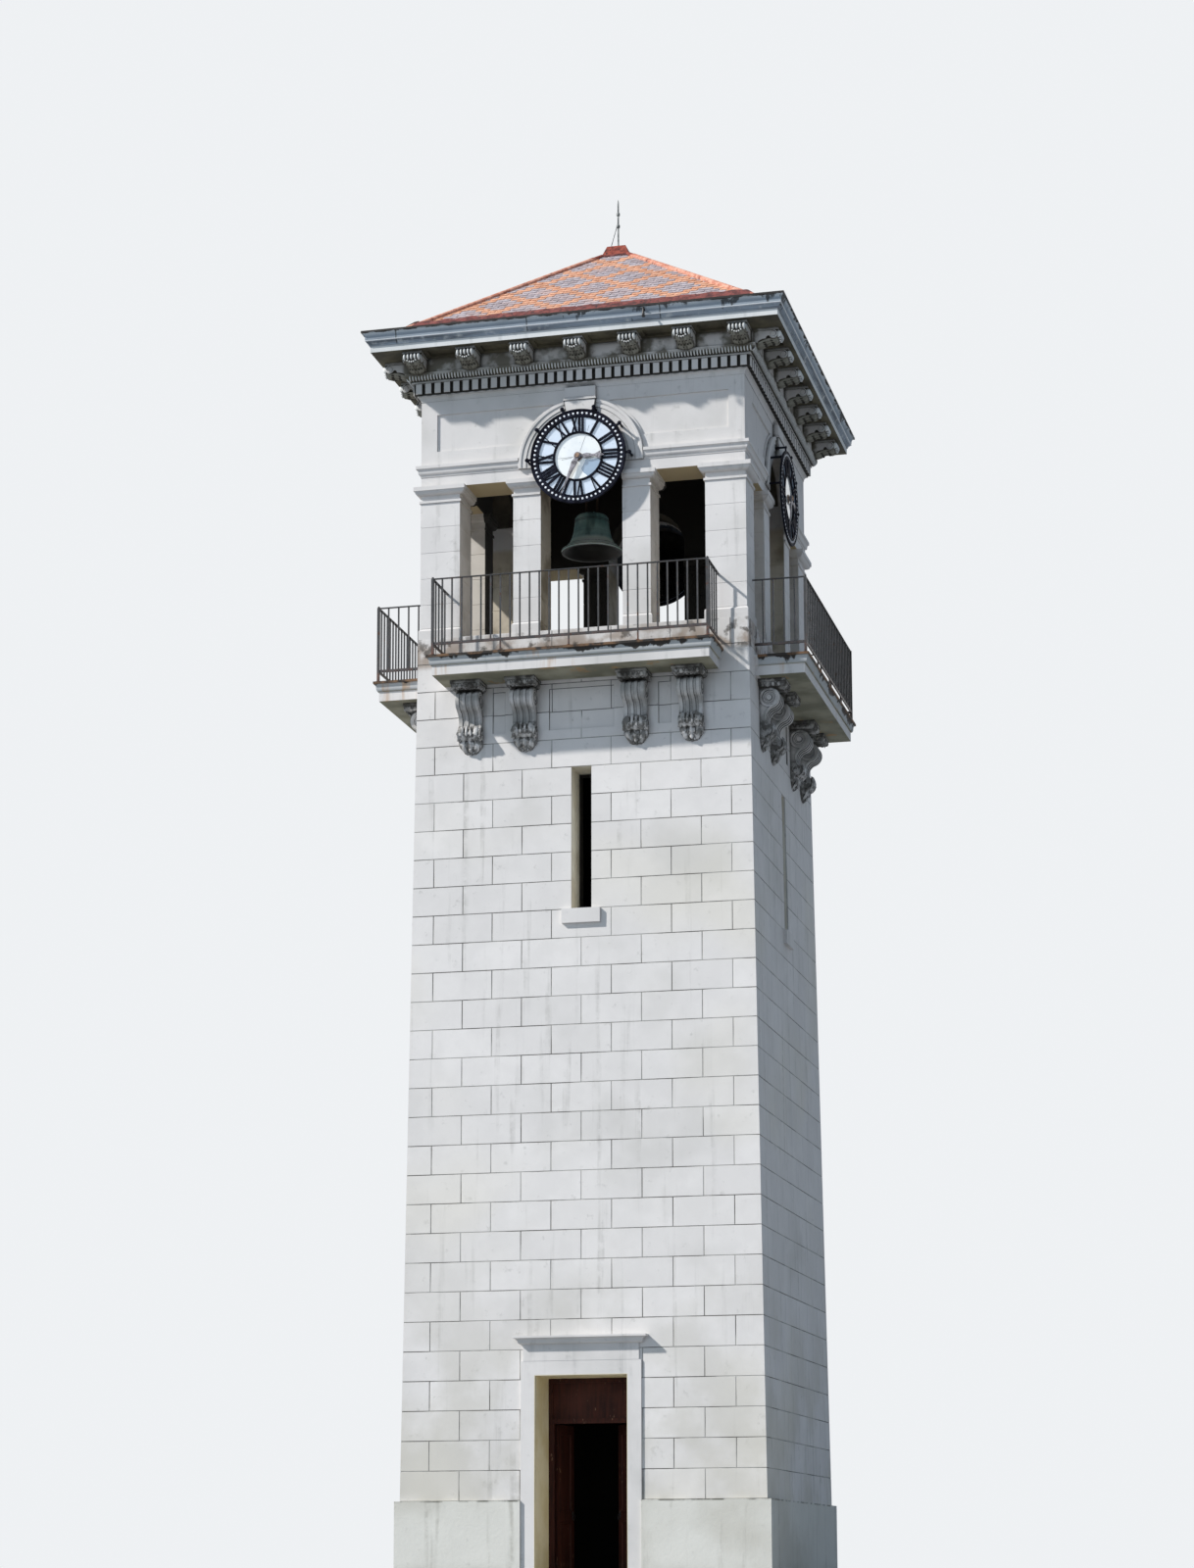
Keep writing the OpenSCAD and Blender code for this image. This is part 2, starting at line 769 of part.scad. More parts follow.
// L-shaped entablature over a corner pier and the openings beside it
module entablature() {
    edge = arch_r + archivolt_w;
    difference() {
        union() {
            box([-half, -half, pier_top], [-arch_r, -chamber, arch_wall_z]);
            box([-half, -half, pier_top], [-chamber, -arch_r, arch_wall_z]);
            intersection() {
                small_cornice();
                union() {
                    box([-far, -far, band_top], [-edge, -chamber, arch_wall_z]);
                    box([-far, -far, band_top], [-chamber, -edge, arch_wall_z]);
                }
            }
        }
        arch_hole();
        rotate([0, 0, -90]) arch_hole();
    }
}

module entablatures() {
    color(paint) on_faces() entablature();
}

// Wall over the arch at -Y with its two sunken spandrel panels
panel_inner_margin = 180;
panel_outer_margin = 230;
module arch_wall(x_end) {
    panel_z0 = arch_wall_z + 0.22 * arch_wall_h;
    panel_z1 = arch_wall_z + 0.79 * arch_wall_h;
    difference() {
        box([-x_end, -half, arch_wall_z], [x_end, -chamber, dentil_z]);
        arch_hole();
        for (s = [-1, 1]) scale([s, 1, 1]) difference() {
            box([keystone_w / 2 + panel_inner_margin, -far, panel_z0],
                [half - panel_outer_margin, -half + panel_d, panel_z1]);
            translate([0, 0, arch_z]) rotate([90, 0, 0])
                cylinder(r = arch_r + archivolt_w + 40, h = far, $fn = 96);
        }
    }
}

module arch_walls_front_back() {
    color(paint) on_faces([FRONT, BACK]) arch_wall(half);
}

module arch_walls_sides() {
    color(paint) on_faces([RIGHT, LEFT]) intersection() {
        arch_wall(half);
        box([-chamber, -half, arch_wall_z], [chamber, -chamber, dentil_z]);
    }
}

// Front view of the keystone: a wedge, two fillets and an upper block
keystone_z1 = arch_wall_z + 0.8 * arch_wall_h;
fillet_out = 14;
module keystone_wedge() {
    z0 = arch_z + 0.8 * arch_r;
    w1 = keystone_w / 2;
    polygon([[-0.72 * w1, z0], [0.72 * w1, z0], [w1, keystone_z1], [-w1, keystone_z1]]);
}

module keystone() {
    z1 = keystone_z1;
    w1 = keystone_w / 2;
    difference() {
        along_y(-half - keystone_out, -half) keystone_wedge();
        arch_hole();
    }
    box([-w1 - fillet_out, -half - keystone_out - fillet_out, z1],
        [w1 + fillet_out, -half, z1 + 16]);
    box([-w1 - 6, -half - keystone_out - 6, z1 + 16], [w1 + 6, -half, z1 + 34]);
    box([-w1, -half - keystone_out + 10, z1 + 34], [w1, -half, dentil_z]);
}

module keystones() {
    color(paint) on_faces() keystone();
}

// Moulded band round the arch in three steps and an outer ogee
module archivolt() {
    r0 = arch_r;
    w = archivolt_w;
    d = archivolt_out;
    profile = concat([[r0, 0], [r0, 0.45 * d], [r0 + 0.34 * w, 0.45 * d],
        [r0 + 0.34 * w, 0.62 * d], [r0 + 0.64 * w, 0.62 * d], [r0 + 0.64 * w, 0.78 * d],
        [r0 + 0.8 * w, 0.78 * d]], [[r0 + 0.86 * w, d], [r0 + 0.97 * w, d], [r0 + w, 0.8 * d], [r0 + w, 0]]);
    difference() {
        translate([0, -half, arch_z]) rotate([90, 0, 0])
            rotate_extrude($fn = 96) polygon(profile);
        box([-far, -far, 0], [far, 0, band_top]);
        along_y(-far, 0) keystone_wedge();
        box([-keystone_w / 2 - fillet_out, -far, keystone_z1], [keystone_w / 2 + fillet_out, 0, dentil_z]);
    }
}

module archivolts() {
    color(paint) on_faces() archivolt();
}

// Hollow of the belfry between its wall and the corona's soffit
module chamber_hole(z0, z1) {
    box([-chamber, -chamber, z0 - 1], [chamber, chamber, z1 + 1]);
}

bed_h = 70;
dentil_back = 50;
dentil_out = 105;
module dentil_course() {
    z1 = dentil_z + bed_h;
    z2 = dentil_z + dentil_course_h;
    run = 2 * (half + dentil_out);
    pitch = run / (dentils + 0.36);
    tooth = 0.64 * pitch;
    fillet_h = 18;
    color(paint) {
        difference() {
            squared(concat([[half, dentil_z]], cavetto(half + 6, dentil_z, half + dentil_back, z1, 4),
                [[half + dentil_back, z2 - fillet_h], [half + dentil_out + 12, z2 - fillet_h],
                [half + dentil_out + 12, z2]]));
            chamber_hole(dentil_z, z2);
        }
        on_faces() for (i = [0:dentils - 1])
            translate([(i - (dentils - 1) / 2) * pitch, 0, 0])
                box([-tooth / 2, -half - dentil_out, z1 + 25],
                    [tooth / 2, -half - dentil_back + 10, z2 - fillet_h]);
    }
}

// Modillion in side view: flat top, double-curved underside, rolled front
module modillion_outline() {
    h = modillion_h;
    d = modillion_out - modillion_back;
    roll = 0.3 * h;
    top = h - 0.17 * h;
    union() {
        translate([d - roll, top - roll]) circle(r = roll, $fn = 32);
        polygon(concat([[-20, top], [-20, 0], [0, 0]],
            [for (p = cavetto(0.16 * d, 0, 0.5 * d, 0.26 * h, 4)) p],
            [for (p = arc(0.62 * d, 0.26 * h, 0.12 * d, 180, 90, 3)) [p[0], p[1]]],
            [[d - roll, top - 2 * roll], [d - roll, top]]));
    }
}

modillion_back = 160;
module modillion() {
    z0 = corona_z - modillion_h;
    cap = 0.17 * modillion_h;
    translate([0, -half - modillion_back, z0]) {
        rotate([90, 0, -90]) linear_extrude(modillion_w - 24, center = true) modillion_outline();
        box([-modillion_w / 2, modillion_back - modillion_out - 8, modillion_h - cap],
            [modillion_w / 2, 20, modillion_h]);
        for (s = [-1, 1])
            translate([s * (modillion_w / 2 - 12), -(modillion_out - modillion_back) + 0.3 * modillion_h,
                modillion_h - cap - 0.3 * modillion_h]) rotate([0, s * 90, 0])
                    cylinder(r = 0.17 * modillion_h, h = 10, $fn = 24);
    }
}

module modillion_course() {
    z0 = modillion_z;
    egg_h = 0.34 * modillion_course_h;
    step = 2 * half / (modillions - 1);
    color(paint) {
        difference() {
            squared(concat([[half + dentil_out, z0], [half + dentil_out, z0 + 14]],
                ovolo(half + dentil_out + 8, z0 + 14, half + modillion_back + 30, z0 + egg_h - 12, 5),
                [[half + modillion_back + 30, z0 + egg_h], [half + modillion_back, z0 + egg_h],
                [half + modillion_back, corona_z]]));
            chamber_hole(z0, corona_z);
        }
        on_faces() for (i = [0:modillions - 1])
            translate([-half + i * step, 0, 0]) modillion();
    }
}

// Corona slab with sunken coffers, crowned by fillets and a cyma
module main_cornice() {
    z1 = corona_z + corona_h;
    face = half + corona_out;
    tip = face + crown_out;
    step = 2 * half / (modillions - 1);
    coffer_y0 = half + modillion_back + 60;
    coffer_y1 = half + modillion_out - 40;
    coffer_x = step - modillion_w - 130;
    color(paint) difference() {
        squared(concat([[face, corona_z], [face, z1], [face + 14, z1], [face + 14, z1 + 22],
            [face + 24, z1 + 22], [face + 24, z1 + 40]],
            cyma(face + 24, z1 + 40, tip - 6, cornice_top - 28, 6),
            [[tip, cornice_top - 28], [tip, cornice_top]]));
        on_faces() for (i = [0:modillions - 2])
            translate([-half + (i + 0.5) * step, 0, 0])
                box([-coffer_x / 2, -coffer_y1, corona_z - 1],
                    [coffer_x / 2, -coffer_y0, corona_z + 35]);
    }
}

// Pyramid with a flat top, its level size changed by grow on each side
module roof_pyramid(grow = 0, base = 0) {
    squared([[eaves_half + grow + roof_run * base, cornice_top - base],
        [roof_top_half + grow, cap_z]]);
}

module roof() {
    color(tile) difference() {
        roof_pyramid();
        intersection() {
            roof_pyramid(-roof_t, 1);
            box([-far, -far, 0], [far, far, cap_z - roof_t / 2]);
        }
    }
}

// Round hip tiles on the four corners and a course along the eaves
module tile_edging() {
    corner = eaves_half * sqrt(2);
    top = roof_top_half * sqrt(2);
    slope = atan(roof_h / (corner - top));
    len = norm([corner - top, roof_h]);
    color(tile) difference() {
        union() {
            for (a = [45:90:315]) rotate([0, 0, a]) translate([corner, 0, cornice_top])
                rotate([0, slope - 90, 0]) cylinder(r = hip_r, h = len, $fn = 24);
            intersection() {
                roof_pyramid(34);
                box([-far, -far, cornice_top], [far, far, cornice_top + 120]);
            }
        }
        roof_pyramid(0, 1);
        box([-far, -far, cornice_top - far], [far, far, cornice_top]);
        box([-far, -far, cap_z - 40], [far, far, cap_z + far]);
    }
}

module roof_cap() {
    top = 0.68 * roof_top_half;
    color("firebrick") squared([[roof_top_half, cap_z], [roof_top_half, cap_z + 24],
        [top, rod_z]]);
}

// Rod with a foot, a point, two clamps and a short stay
module lightning_rod() {
    r = 12;
    upper = rod_z + 0.68 * rod_h;
    lower = rod_z + 0.44 * rod_h;
    stay_x = 0.6 * roof_top_half;
    stay_z = lower + 90;
    stay_lift = 4;
    color(iron) {
        translate([0, 0, rod_z]) cylinder(r = 45, h = 14, $fn = 32);
        translate([0, 0, rod_z]) cylinder(r = r, h = rod_h - 60, $fn = 32);
        translate([0, 0, rod_z + rod_h - 60]) cylinder(r1 = r, r2 = 2, h = 60, $fn = 32);
        for (z = [lower, upper]) translate([0, 0, z]) cylinder(r = 26, h = 34, $fn = 32);
        translate([-stay_x, 0, rod_z + stay_lift])
            rotate([0, atan(stay_x / (stay_z - rod_z - stay_lift)), 0])
                cylinder(r = 6, h = norm([stay_x, stay_z - rod_z - stay_lift]), $fn = 24);
        translate([-stay_x, 0, rod_z]) cylinder(r = 16, h = 12, $fn = 24);
    }
}

// Bell in section: lip, waist, shoulder and crown, cast in one wall
module bell() {
    r = bell_r;
    h = bell_h;
    wall = [[r, 0], [r, 0.05 * h], [0.93 * r, 0.09 * h], [0.85 * r, 0.15 * h],
        [0.74 * r, 0.26 * h], [0.66 * r, 0.4 * h], [0.615 * r, 0.53 * h], [0.585 * r, 0.68 * h],
        [0.56 * r, 0.82 * h], [0.545 * r, 0.93 * h], [0.5 * r, 0.98 * h], [0.42 * r, h], [0, h],
        [0, 0.92 * h], [0.4 * r, 0.91 * h], [0.47 * r, 0.86 * h], [0.5 * r, 0.72 * h],
        [0.54 * r, 0.54 * h], [0.59 * r, 0.38 * h], [0.67 * r, 0.23 * h], [0.78 * r, 0.12 * h],
        [0.87 * r, 0.05 * h], [0.91 * r, 0]];
    color("olivedrab") translate([bell_x, bell_y, base_top + bell_lip_z])
        rotate_extrude($fn = 96) polygon(wall);
}

// Timber beam between the side walls, with hangers down to the bell
beam_w = 200;
beam_h = 240;
headstock_w = 220;
headstock_h = 40;
module bell_beam() {
    beam_z = arch_z + arch_r + 110;
    crown = base_top + bell_lip_z + bell_h;
    color("saddlebrown") {
        box([-chamber, bell_y - beam_w / 2, beam_z], [chamber, bell_y + beam_w / 2, beam_z + beam_h]);
        box([bell_x - headstock_w / 2, bell_y - 60, crown],
            [bell_x + headstock_w / 2, bell_y + 60, crown + headstock_h]);
        for (s = [-1, 1]) translate([bell_x + s * (headstock_w / 2 - 30), bell_y, crown])
            cylinder(r = 18, h = beam_z - crown + 10, $fn = 32);
    }
}

// Dial parts are drawn flat, u to the right and v up from the hub, and
// stood against a face by this module; off is counted from the wall
module on_dial(off, thick) {
    translate([0, -half - off, arch_z]) rotate([90, 0, 0]) linear_extrude(thick) children();
}

module ring(r_out, r_in) {
    difference() {
        circle(r = r_out, $fn = 96);
        circle(r = r_in, $fn = 96);
    }
}

// Strokes of a numeral as [foot, head, width], side to side in millimetres
thick = 30;
thin = 13;
function i_at(x) = [[x, x, thick]];
function v_at(x) = [[x - 2, x - 34, thick], [x + 2, x + 36, thin]];
function x_at(x) = [[x + 32, x - 32, thick], [x - 32, x + 32, thin]];
NUMERALS = [
    concat(x_at(-52), i_at(18), i_at(66)),
    i_at(0),
    concat(i_at(-27), i_at(27)),
    concat(i_at(-50), i_at(0), i_at(50)),
    concat(i_at(-72), i_at(-24), i_at(24), i_at(72)),
    v_at(0),
    concat(v_at(-28), i_at(50)),
    concat(v_at(-52), i_at(22), i_at(70)),
    concat(v_at(-72), i_at(-8), i_at(36), i_at(80)),
    concat(i_at(-52), x_at(20)),
    x_at(0),
    concat(x_at(-28), i_at(52))];

// The skeleton: outer ring, numerals that reach between the rings, inner
// ring, and the lugs that hold it off the arch
module dial_skeleton() {
    r0 = inner_ring_r - inner_ring_w / 2;
    r1 = dial_r - dial_band + 5;
    ring(dial_r, dial_r - dial_band);
    ring(inner_ring_r, inner_ring_r - inner_ring_w);
    for (h = [0:11]) rotate(-30 * h) for (s = NUMERALS[h])
        polygon([[s[0] - s[2] / 2, r0], [s[0] + s[2] / 2, r0],
            [s[1] + s[2] / 2, r1], [s[1] - s[2] / 2, r1]]);
}

lug_angles = [18, 54, 90];
module dial_frame() {
    post_r = arch_r + 0.5 * archivolt_w - 10;
    post_foot = 0.62 * archivolt_out;
    on_dial(dial_off, dial_t) dial_skeleton();
    for (s = [-1, 1]) for (a = lug_angles) {
        on_dial(dial_off, dial_t) rotate(s * a)
            polygon([[-16, dial_r - 10], [16, dial_r - 10], [16, post_r + 16], [-16, post_r + 16]]);
        on_dial(post_foot, dial_off - post_foot + 1) rotate(s * a)
            translate([0, post_r]) circle(r = 15, $fn = 24);
    }
}

module dial_frames() {
    color(iron) on_faces() dial_frame();
}

module dial_glasses() {
    color("aliceblue") on_faces()
        on_dial(dial_off - glass_t, glass_t) circle(r = dial_r - dial_band + 60, $fn = 96);
}

// Arbor: flange on the glass, spindle for both hands and a nut
flange_t = 10;
hour_off = dial_off + dial_t + 8;
minute_off = hour_off + hand_t + 10;
module dial_arbors() {
    nut = minute_off + hand_t + 4;
    color("goldenrod") on_faces() {
        on_dial(dial_off, flange_t) circle(r = 60, $fn = 40);
        on_dial(dial_off, nut - dial_off + 12) circle(r = arbor_r, $fn = 40);
        on_dial(nut, 12) circle(r = arbor_r + 10, $fn = 40);
    }
}

// Hands point up here; each is turned to its place and set on its boss
boss_r = arbor_r + 14;
module minute_shape() {
    circle(r = 48, $fn = 40);
    for (s = [-1, 1]) scale([s, 1]) polygon([[-1, 20], [20, 20], [42, 0.18 * minute_len],
        [37, 0.27 * minute_len], [27, 0.38 * minute_len], [20, 0.52 * minute_len],
        [12, 0.75 * minute_len], [4, minute_len], [-1, minute_len]]);
}

module hour_shape() {
    circle(r = 52, $fn = 40);
    for (s = [-1, 1]) scale([s, 1]) polygon([[-1, 20], [15, 20], [15, 0.17 * hour_len],
        [31, 0.26 * hour_len], [35, 0.34 * hour_len], [29, 0.43 * hour_len],
        [16, 0.56 * hour_len], [18, 0.66 * hour_len], [36, 0.74 * hour_len],
        [60, 0.87 * hour_len], [27, 0.86 * hour_len], [4, hour_len], [-1, hour_len]]);
}

module minute_hand(face) {
    boss = minute_off - hour_off - hand_t - eye_gap;
    color(iron) rotate([0, 0, face]) difference() {
        union() {
            on_dial(minute_off, hand_t) rotate(-minute_at) minute_shape();
            on_dial(minute_off - boss, boss + hand_t / 2) circle(r = boss_r, $fn = 40);
        }
        on_dial(minute_off - boss - 5, boss + hand_t + 10)
            circle(r = arbor_r + pin_gap, $fn = 40);
    }
}

module hour_hand(face) {
    boss = hour_off - dial_off - flange_t - eye_gap;
    color(iron) rotate([0, 0, face]) difference() {
        union() {
            on_dial(hour_off, hand_t) rotate(-hour_at) hour_shape();
            on_dial(hour_off - boss, boss + hand_t / 2) circle(r = boss_r, $fn = 40);
        }
        on_dial(hour_off - boss - 5, boss + hand_t + 10)
            circle(r = arbor_r + pin_gap, $fn = 40);
    }
}

plinth_front();
plinth_sides();
plinth_back();
ground_floor();
door_threshold();
wall_front_lower();
wall_front();
wall_left();
wall_right();
wall_back();
slit_sills();
door_surround();
door_hood();
door_frame();
door_hinges();
door_leaf_left();
door_leaf_right();
balcony_slabs();
consoles();
balcony_railings();
railing_returns();
belfry_base();
belfry_floor();
corner_piers();
inner_piers();
entablatures();
arch_walls_front_back();
arch_walls_sides();
archivolts();
keystones();
dentil_course();
modillion_course();
main_cornice();
roof();
tile_edging();
roof_cap();
lightning_rod();
bell();
bell_beam();
dial_frames();
dial_glasses();
dial_arbors();
minute_hand(FRONT);  // minute_hand_front
minute_hand(RIGHT);  // minute_hand_right
minute_hand(BACK);  // minute_hand_back
minute_hand(LEFT);  // minute_hand_left
hour_hand(FRONT);  // hour_hand_front
hour_hand(RIGHT);  // hour_hand_right
hour_hand(BACK);  // hour_hand_back
hour_hand(LEFT);  // hour_hand_left
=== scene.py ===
import bpy
import json
import random
from math import atan2, cos, degrees, hypot, pi, radians, sin
from mathutils import Matrix, Vector


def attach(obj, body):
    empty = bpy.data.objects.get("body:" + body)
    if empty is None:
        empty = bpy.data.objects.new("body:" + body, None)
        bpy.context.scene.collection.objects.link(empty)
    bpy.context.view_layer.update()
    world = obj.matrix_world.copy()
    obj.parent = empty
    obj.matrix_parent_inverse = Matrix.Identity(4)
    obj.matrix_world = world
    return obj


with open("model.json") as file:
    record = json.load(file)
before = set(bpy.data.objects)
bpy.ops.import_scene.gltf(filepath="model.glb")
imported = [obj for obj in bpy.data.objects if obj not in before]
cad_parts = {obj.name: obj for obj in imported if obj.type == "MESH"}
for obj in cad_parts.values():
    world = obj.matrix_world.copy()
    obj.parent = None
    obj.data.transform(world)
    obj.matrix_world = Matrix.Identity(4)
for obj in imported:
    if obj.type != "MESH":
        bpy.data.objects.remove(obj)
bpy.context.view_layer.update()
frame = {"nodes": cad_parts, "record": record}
NODES = frame["nodes"]
rng = random.Random(7)

# Camera at the photograph's viewing angle: one fit of 40 points; angles in degrees,
# focal length and centre in the photo's pixels
CAM_POS = (10.4951, -44.7543, 0.3)
CAM_YAW, CAM_PITCH, CAM_ROLL = -13.6457, 9.2209, -0.2028
CAM_F, CAM_PY = 3329.05, 1068.39
IMG_H = 1600.0

# Sizes of the solids, in metres. The halves are distances from the tower's axis.
PLINTH_TOP = 1.3
SHAFT_HALF = 2.5        # at the plinth's top; the walls lean in by BATTER per metre
BATTER = 0.0125
COURSE = 0.4
SHAFT_TOP = 12.9
TOP_HALF = 2.355        # the belfry's stone base
HALF = 2.33            # the belfry's walls
CHAMBER = 1.765         # the inside of the belfry
CORNICE_Z = 17.42       # the corona's lower edge
DIAL_Z = 15.7
DIAL_FRONT = HALF + 0.2
SIDES = ((0, "front"), (90, "right"), (180, "back"), (270, "left"))
CORNERS = ((-1, -1), (1, -1), (1, 1), (-1, 1))
FRONT = ((1, 0, 0), (0, 0, 1), (0, -1, 0))      # right, up and out on the front face


def add_object(name, data):
    ob = bpy.data.objects.new(name, data)
    bpy.context.collection.objects.link(ob)
    return ob


def make_camera():
    cam = bpy.data.cameras.new("camera")
    cam.sensor_fit = "VERTICAL"
    cam.sensor_height = 36.0
    cam.lens = 36.0 * CAM_F / IMG_H
    cam.shift_y = (CAM_PY - IMG_H / 2) / IMG_H
    cam.clip_start, cam.clip_end = 0.5, 500.0
    ob = add_object("camera", cam)
    y, p, r = (radians(a) for a in (CAM_YAW, CAM_PITCH, CAM_ROLL))
    fw = Vector((sin(y) * cos(p), cos(y) * cos(p), sin(p)))
    rt = Vector((cos(y), -sin(y), 0.0))
    up = rt.cross(fw)
    c, s = cos(r), sin(r)
    rt, up = rt * c + up * s, up * c - rt * s
    m = Matrix((rt, up, -fw)).transposed().to_4x4()
    m.translation = Vector(CAM_POS)
    ob.matrix_world = m
    bpy.context.scene.camera = ob


def sun(name, energy, size, colour, direction):
    """A sun that shines along direction, size degrees wide"""
    d = bpy.data.lights.new(name, "SUN")
    d.energy = energy
    d.color = colour
    d.angle = radians(size)
    add_object(name, d).rotation_euler = Vector(direction).to_track_quat("-Z", "Y").to_euler()


def make_world():
    """Blue light from the sky; a plain pale backdrop where the camera sees it"""
    w = bpy.data.worlds.new("studio")
    bpy.context.scene.world = w
    w.use_nodes = True
    nt = w.node_tree
    nt.nodes.clear()
    out = nt.nodes.new("ShaderNodeOutputWorld")
    mix = nt.nodes.new("ShaderNodeMixShader")
    lp = nt.nodes.new("ShaderNodeLightPath")
    seen = lp.outputs["Is Camera Ray"]
    for ray in ("Is Glossy Ray", "Is Transmission Ray"):
        most = nt.nodes.new("ShaderNodeMath")
        most.operation = "MAXIMUM"
        nt.links.new(seen, most.inputs[0])
        nt.links.new(lp.outputs[ray], most.inputs[1])
        seen = most.outputs[0]
    nt.links.new(seen, mix.inputs[0])
    for i, (colour, strength) in enumerate((((0.57, 0.76, 1.0), 0.36), ((0.86, 0.88, 0.9), 1.0))):
        sky = nt.nodes.new("ShaderNodeBackground")
        sky.inputs[0].default_value = (*colour, 1)
        sky.inputs[1].default_value = strength
        nt.links.new(sky.outputs[0], mix.inputs[1 + i])
    nt.links.new(mix.outputs[0], out.inputs[0])


make_camera()
sun("key", 4.35, 2.0, (1.0, 0.98, 0.95), (1.9, 1.15, -1.75))
sun("fill", 0.48, 30.0, (0.7, 0.85, 1.0), (0.25, 1.0, -0.12))
make_world()
bpy.context.scene.view_settings.view_transform = "Standard"


def rgb(r, g, b):
    """A colour given as it looks, 0 to 255"""
    return tuple(v / 255 / 12.92 if v <= 10 else ((v / 255 + 0.055) / 1.055) ** 2.4 for v in (r, g, b))


mats = {}


class Mat:
    """A procedural material built on the Principled shader; col is its colour so far"""

    def __init__(s, name):
        s.name = name
        s.m = bpy.data.materials.new(name)
        s.m.use_nodes = True
        s.t = s.m.node_tree
        s.b = s.t.nodes["Principled BSDF"]
        tc = s.node("ShaderNodeTexCoord")
        s.p = tc.outputs["Object"]
        s.n = tc.outputs["Normal"]
        s.x, s.y, s.z = s.node("ShaderNodeSeparateXYZ", {0: s.p}).outputs
        s.nx, s.ny, s.nz = s.node("ShaderNodeSeparateXYZ", {0: s.n}).outputs

    def node(s, kind, ins=None, **props):
        n = s.t.nodes.new(kind)
        for k, v in props.items():
            setattr(n, k, v)
        for k, v in (ins or {}).items():
            s.put(n.inputs[k], v)
        return n

    def put(s, sock, v):
        if isinstance(v, bpy.types.NodeSocket):
            s.t.links.new(v, sock)
        elif isinstance(v, tuple) and sock.type == "RGBA":
            sock.default_value = (*v, 1)
        else:
            sock.default_value = v

    def math(s, op, a, b=0.0):
        return s.node("ShaderNodeMath", {0: a, 1: b}, operation=op).outputs[0]

    def fold(s, op, values):
        out = values[0]
        for v in values[1:]:
            out = s.math(op, out, v)
        return out

    def mul(s, *values):
        return s.fold("MULTIPLY", values)

    def add(s, *values):
        return s.fold("ADD", values)

    def most(s, a, b):
        return s.math("MAXIMUM", a, b)

    def abs(s, a):
        return s.math("ABSOLUTE", a)

    def mix(s, f, a, b):
        n = s.t.nodes.new("ShaderNodeMix")
        n.data_type = "RGBA"
        s.put(n.inputs[0], f)
        s.put(n.inputs[6], a)
        s.put(n.inputs[7], b)
        return n.outputs[2]

    def over(s, colour, *masks):
        """Lays a colour over what is there, through the product of the masks"""
        s.col = s.mix(s.mul(*masks), s.col, colour)

    def band(s, v, lo, hi, to=1.0):
        """0 below lo, to above hi, smooth between; the other way round if lo > hi"""
        n = s.node("ShaderNodeMapRange", {0: v}, interpolation_type="SMOOTHSTEP")
        if lo < hi:
            n.inputs[1].default_value, n.inputs[2].default_value = lo, hi
            n.inputs[3].default_value, n.inputs[4].default_value = 0.0, to
        else:
            n.inputs[1].default_value, n.inputs[2].default_value = hi, lo
            n.inputs[3].default_value, n.inputs[4].default_value = to, 0.0
        return n.outputs[0]

    def noise(s, scale, detail=3.0, stretch=None, rough=0.55):
        vec = s.p
        if stretch:
            vec = s.node("ShaderNodeVectorMath", {0: vec, 1: stretch}, operation="MULTIPLY").outputs[0]
        return s.node("ShaderNodeTexNoise", {"Vector": vec, "Scale": scale, "Detail": detail,
                                             "Roughness": rough}).outputs[0]

    def blot(s, scale, detail, lo, hi, to=1.0):
        """Patches where the noise is high"""
        return s.band(s.noise(scale, detail), lo, hi, to)

    def up(s, lo, hi, to=1.0):
        """A band by height"""
        return s.band(s.z, lo, hi, to)

    def level(s, a, b, c, d):
        """1 between the heights b and c, fading to 0 at a and d"""
        return s.mul(s.up(a, b), s.up(d, c))

    def spots(s, scale):
        return s.node("ShaderNodeTexVoronoi", {"Vector": s.p, "Scale": scale}).outputs[0]

    def tint(s):
        return s.node("ShaderNodeAttribute", attribute_name="tint").outputs["Fac"]

    def reach(s):
        """Largest of |x| and |y|: how far out from the tower's axis"""
        return s.most(s.abs(s.x), s.abs(s.y))

    def far(s, lo, hi):
        """A band by reach"""
        return s.band(s.reach(), lo, hi)

    def across(s):
        """How far along an upright face of the tower"""
        return s.mix(s.band(s.abs(s.nx), 0.3, 0.7), s.x, s.y)

    def done(s, rough, height=None, strength=0.3, deep=0.01, **more):
        """Files the material; height, strength and deep are its bump"""
        s.put(s.b.inputs["Base Color"], s.col)
        s.put(s.b.inputs["Roughness"], rough)
        for k, v in more.items():
            s.put(s.b.inputs[k.replace("_", " ")], v)
        if height is not None:
            n = s.node("ShaderNodeBump", {"Height": height, "Strength": strength, "Distance": deep})
            s.t.links.new(n.outputs[0], s.b.inputs["Normal"])
        mats[s.name] = s.m


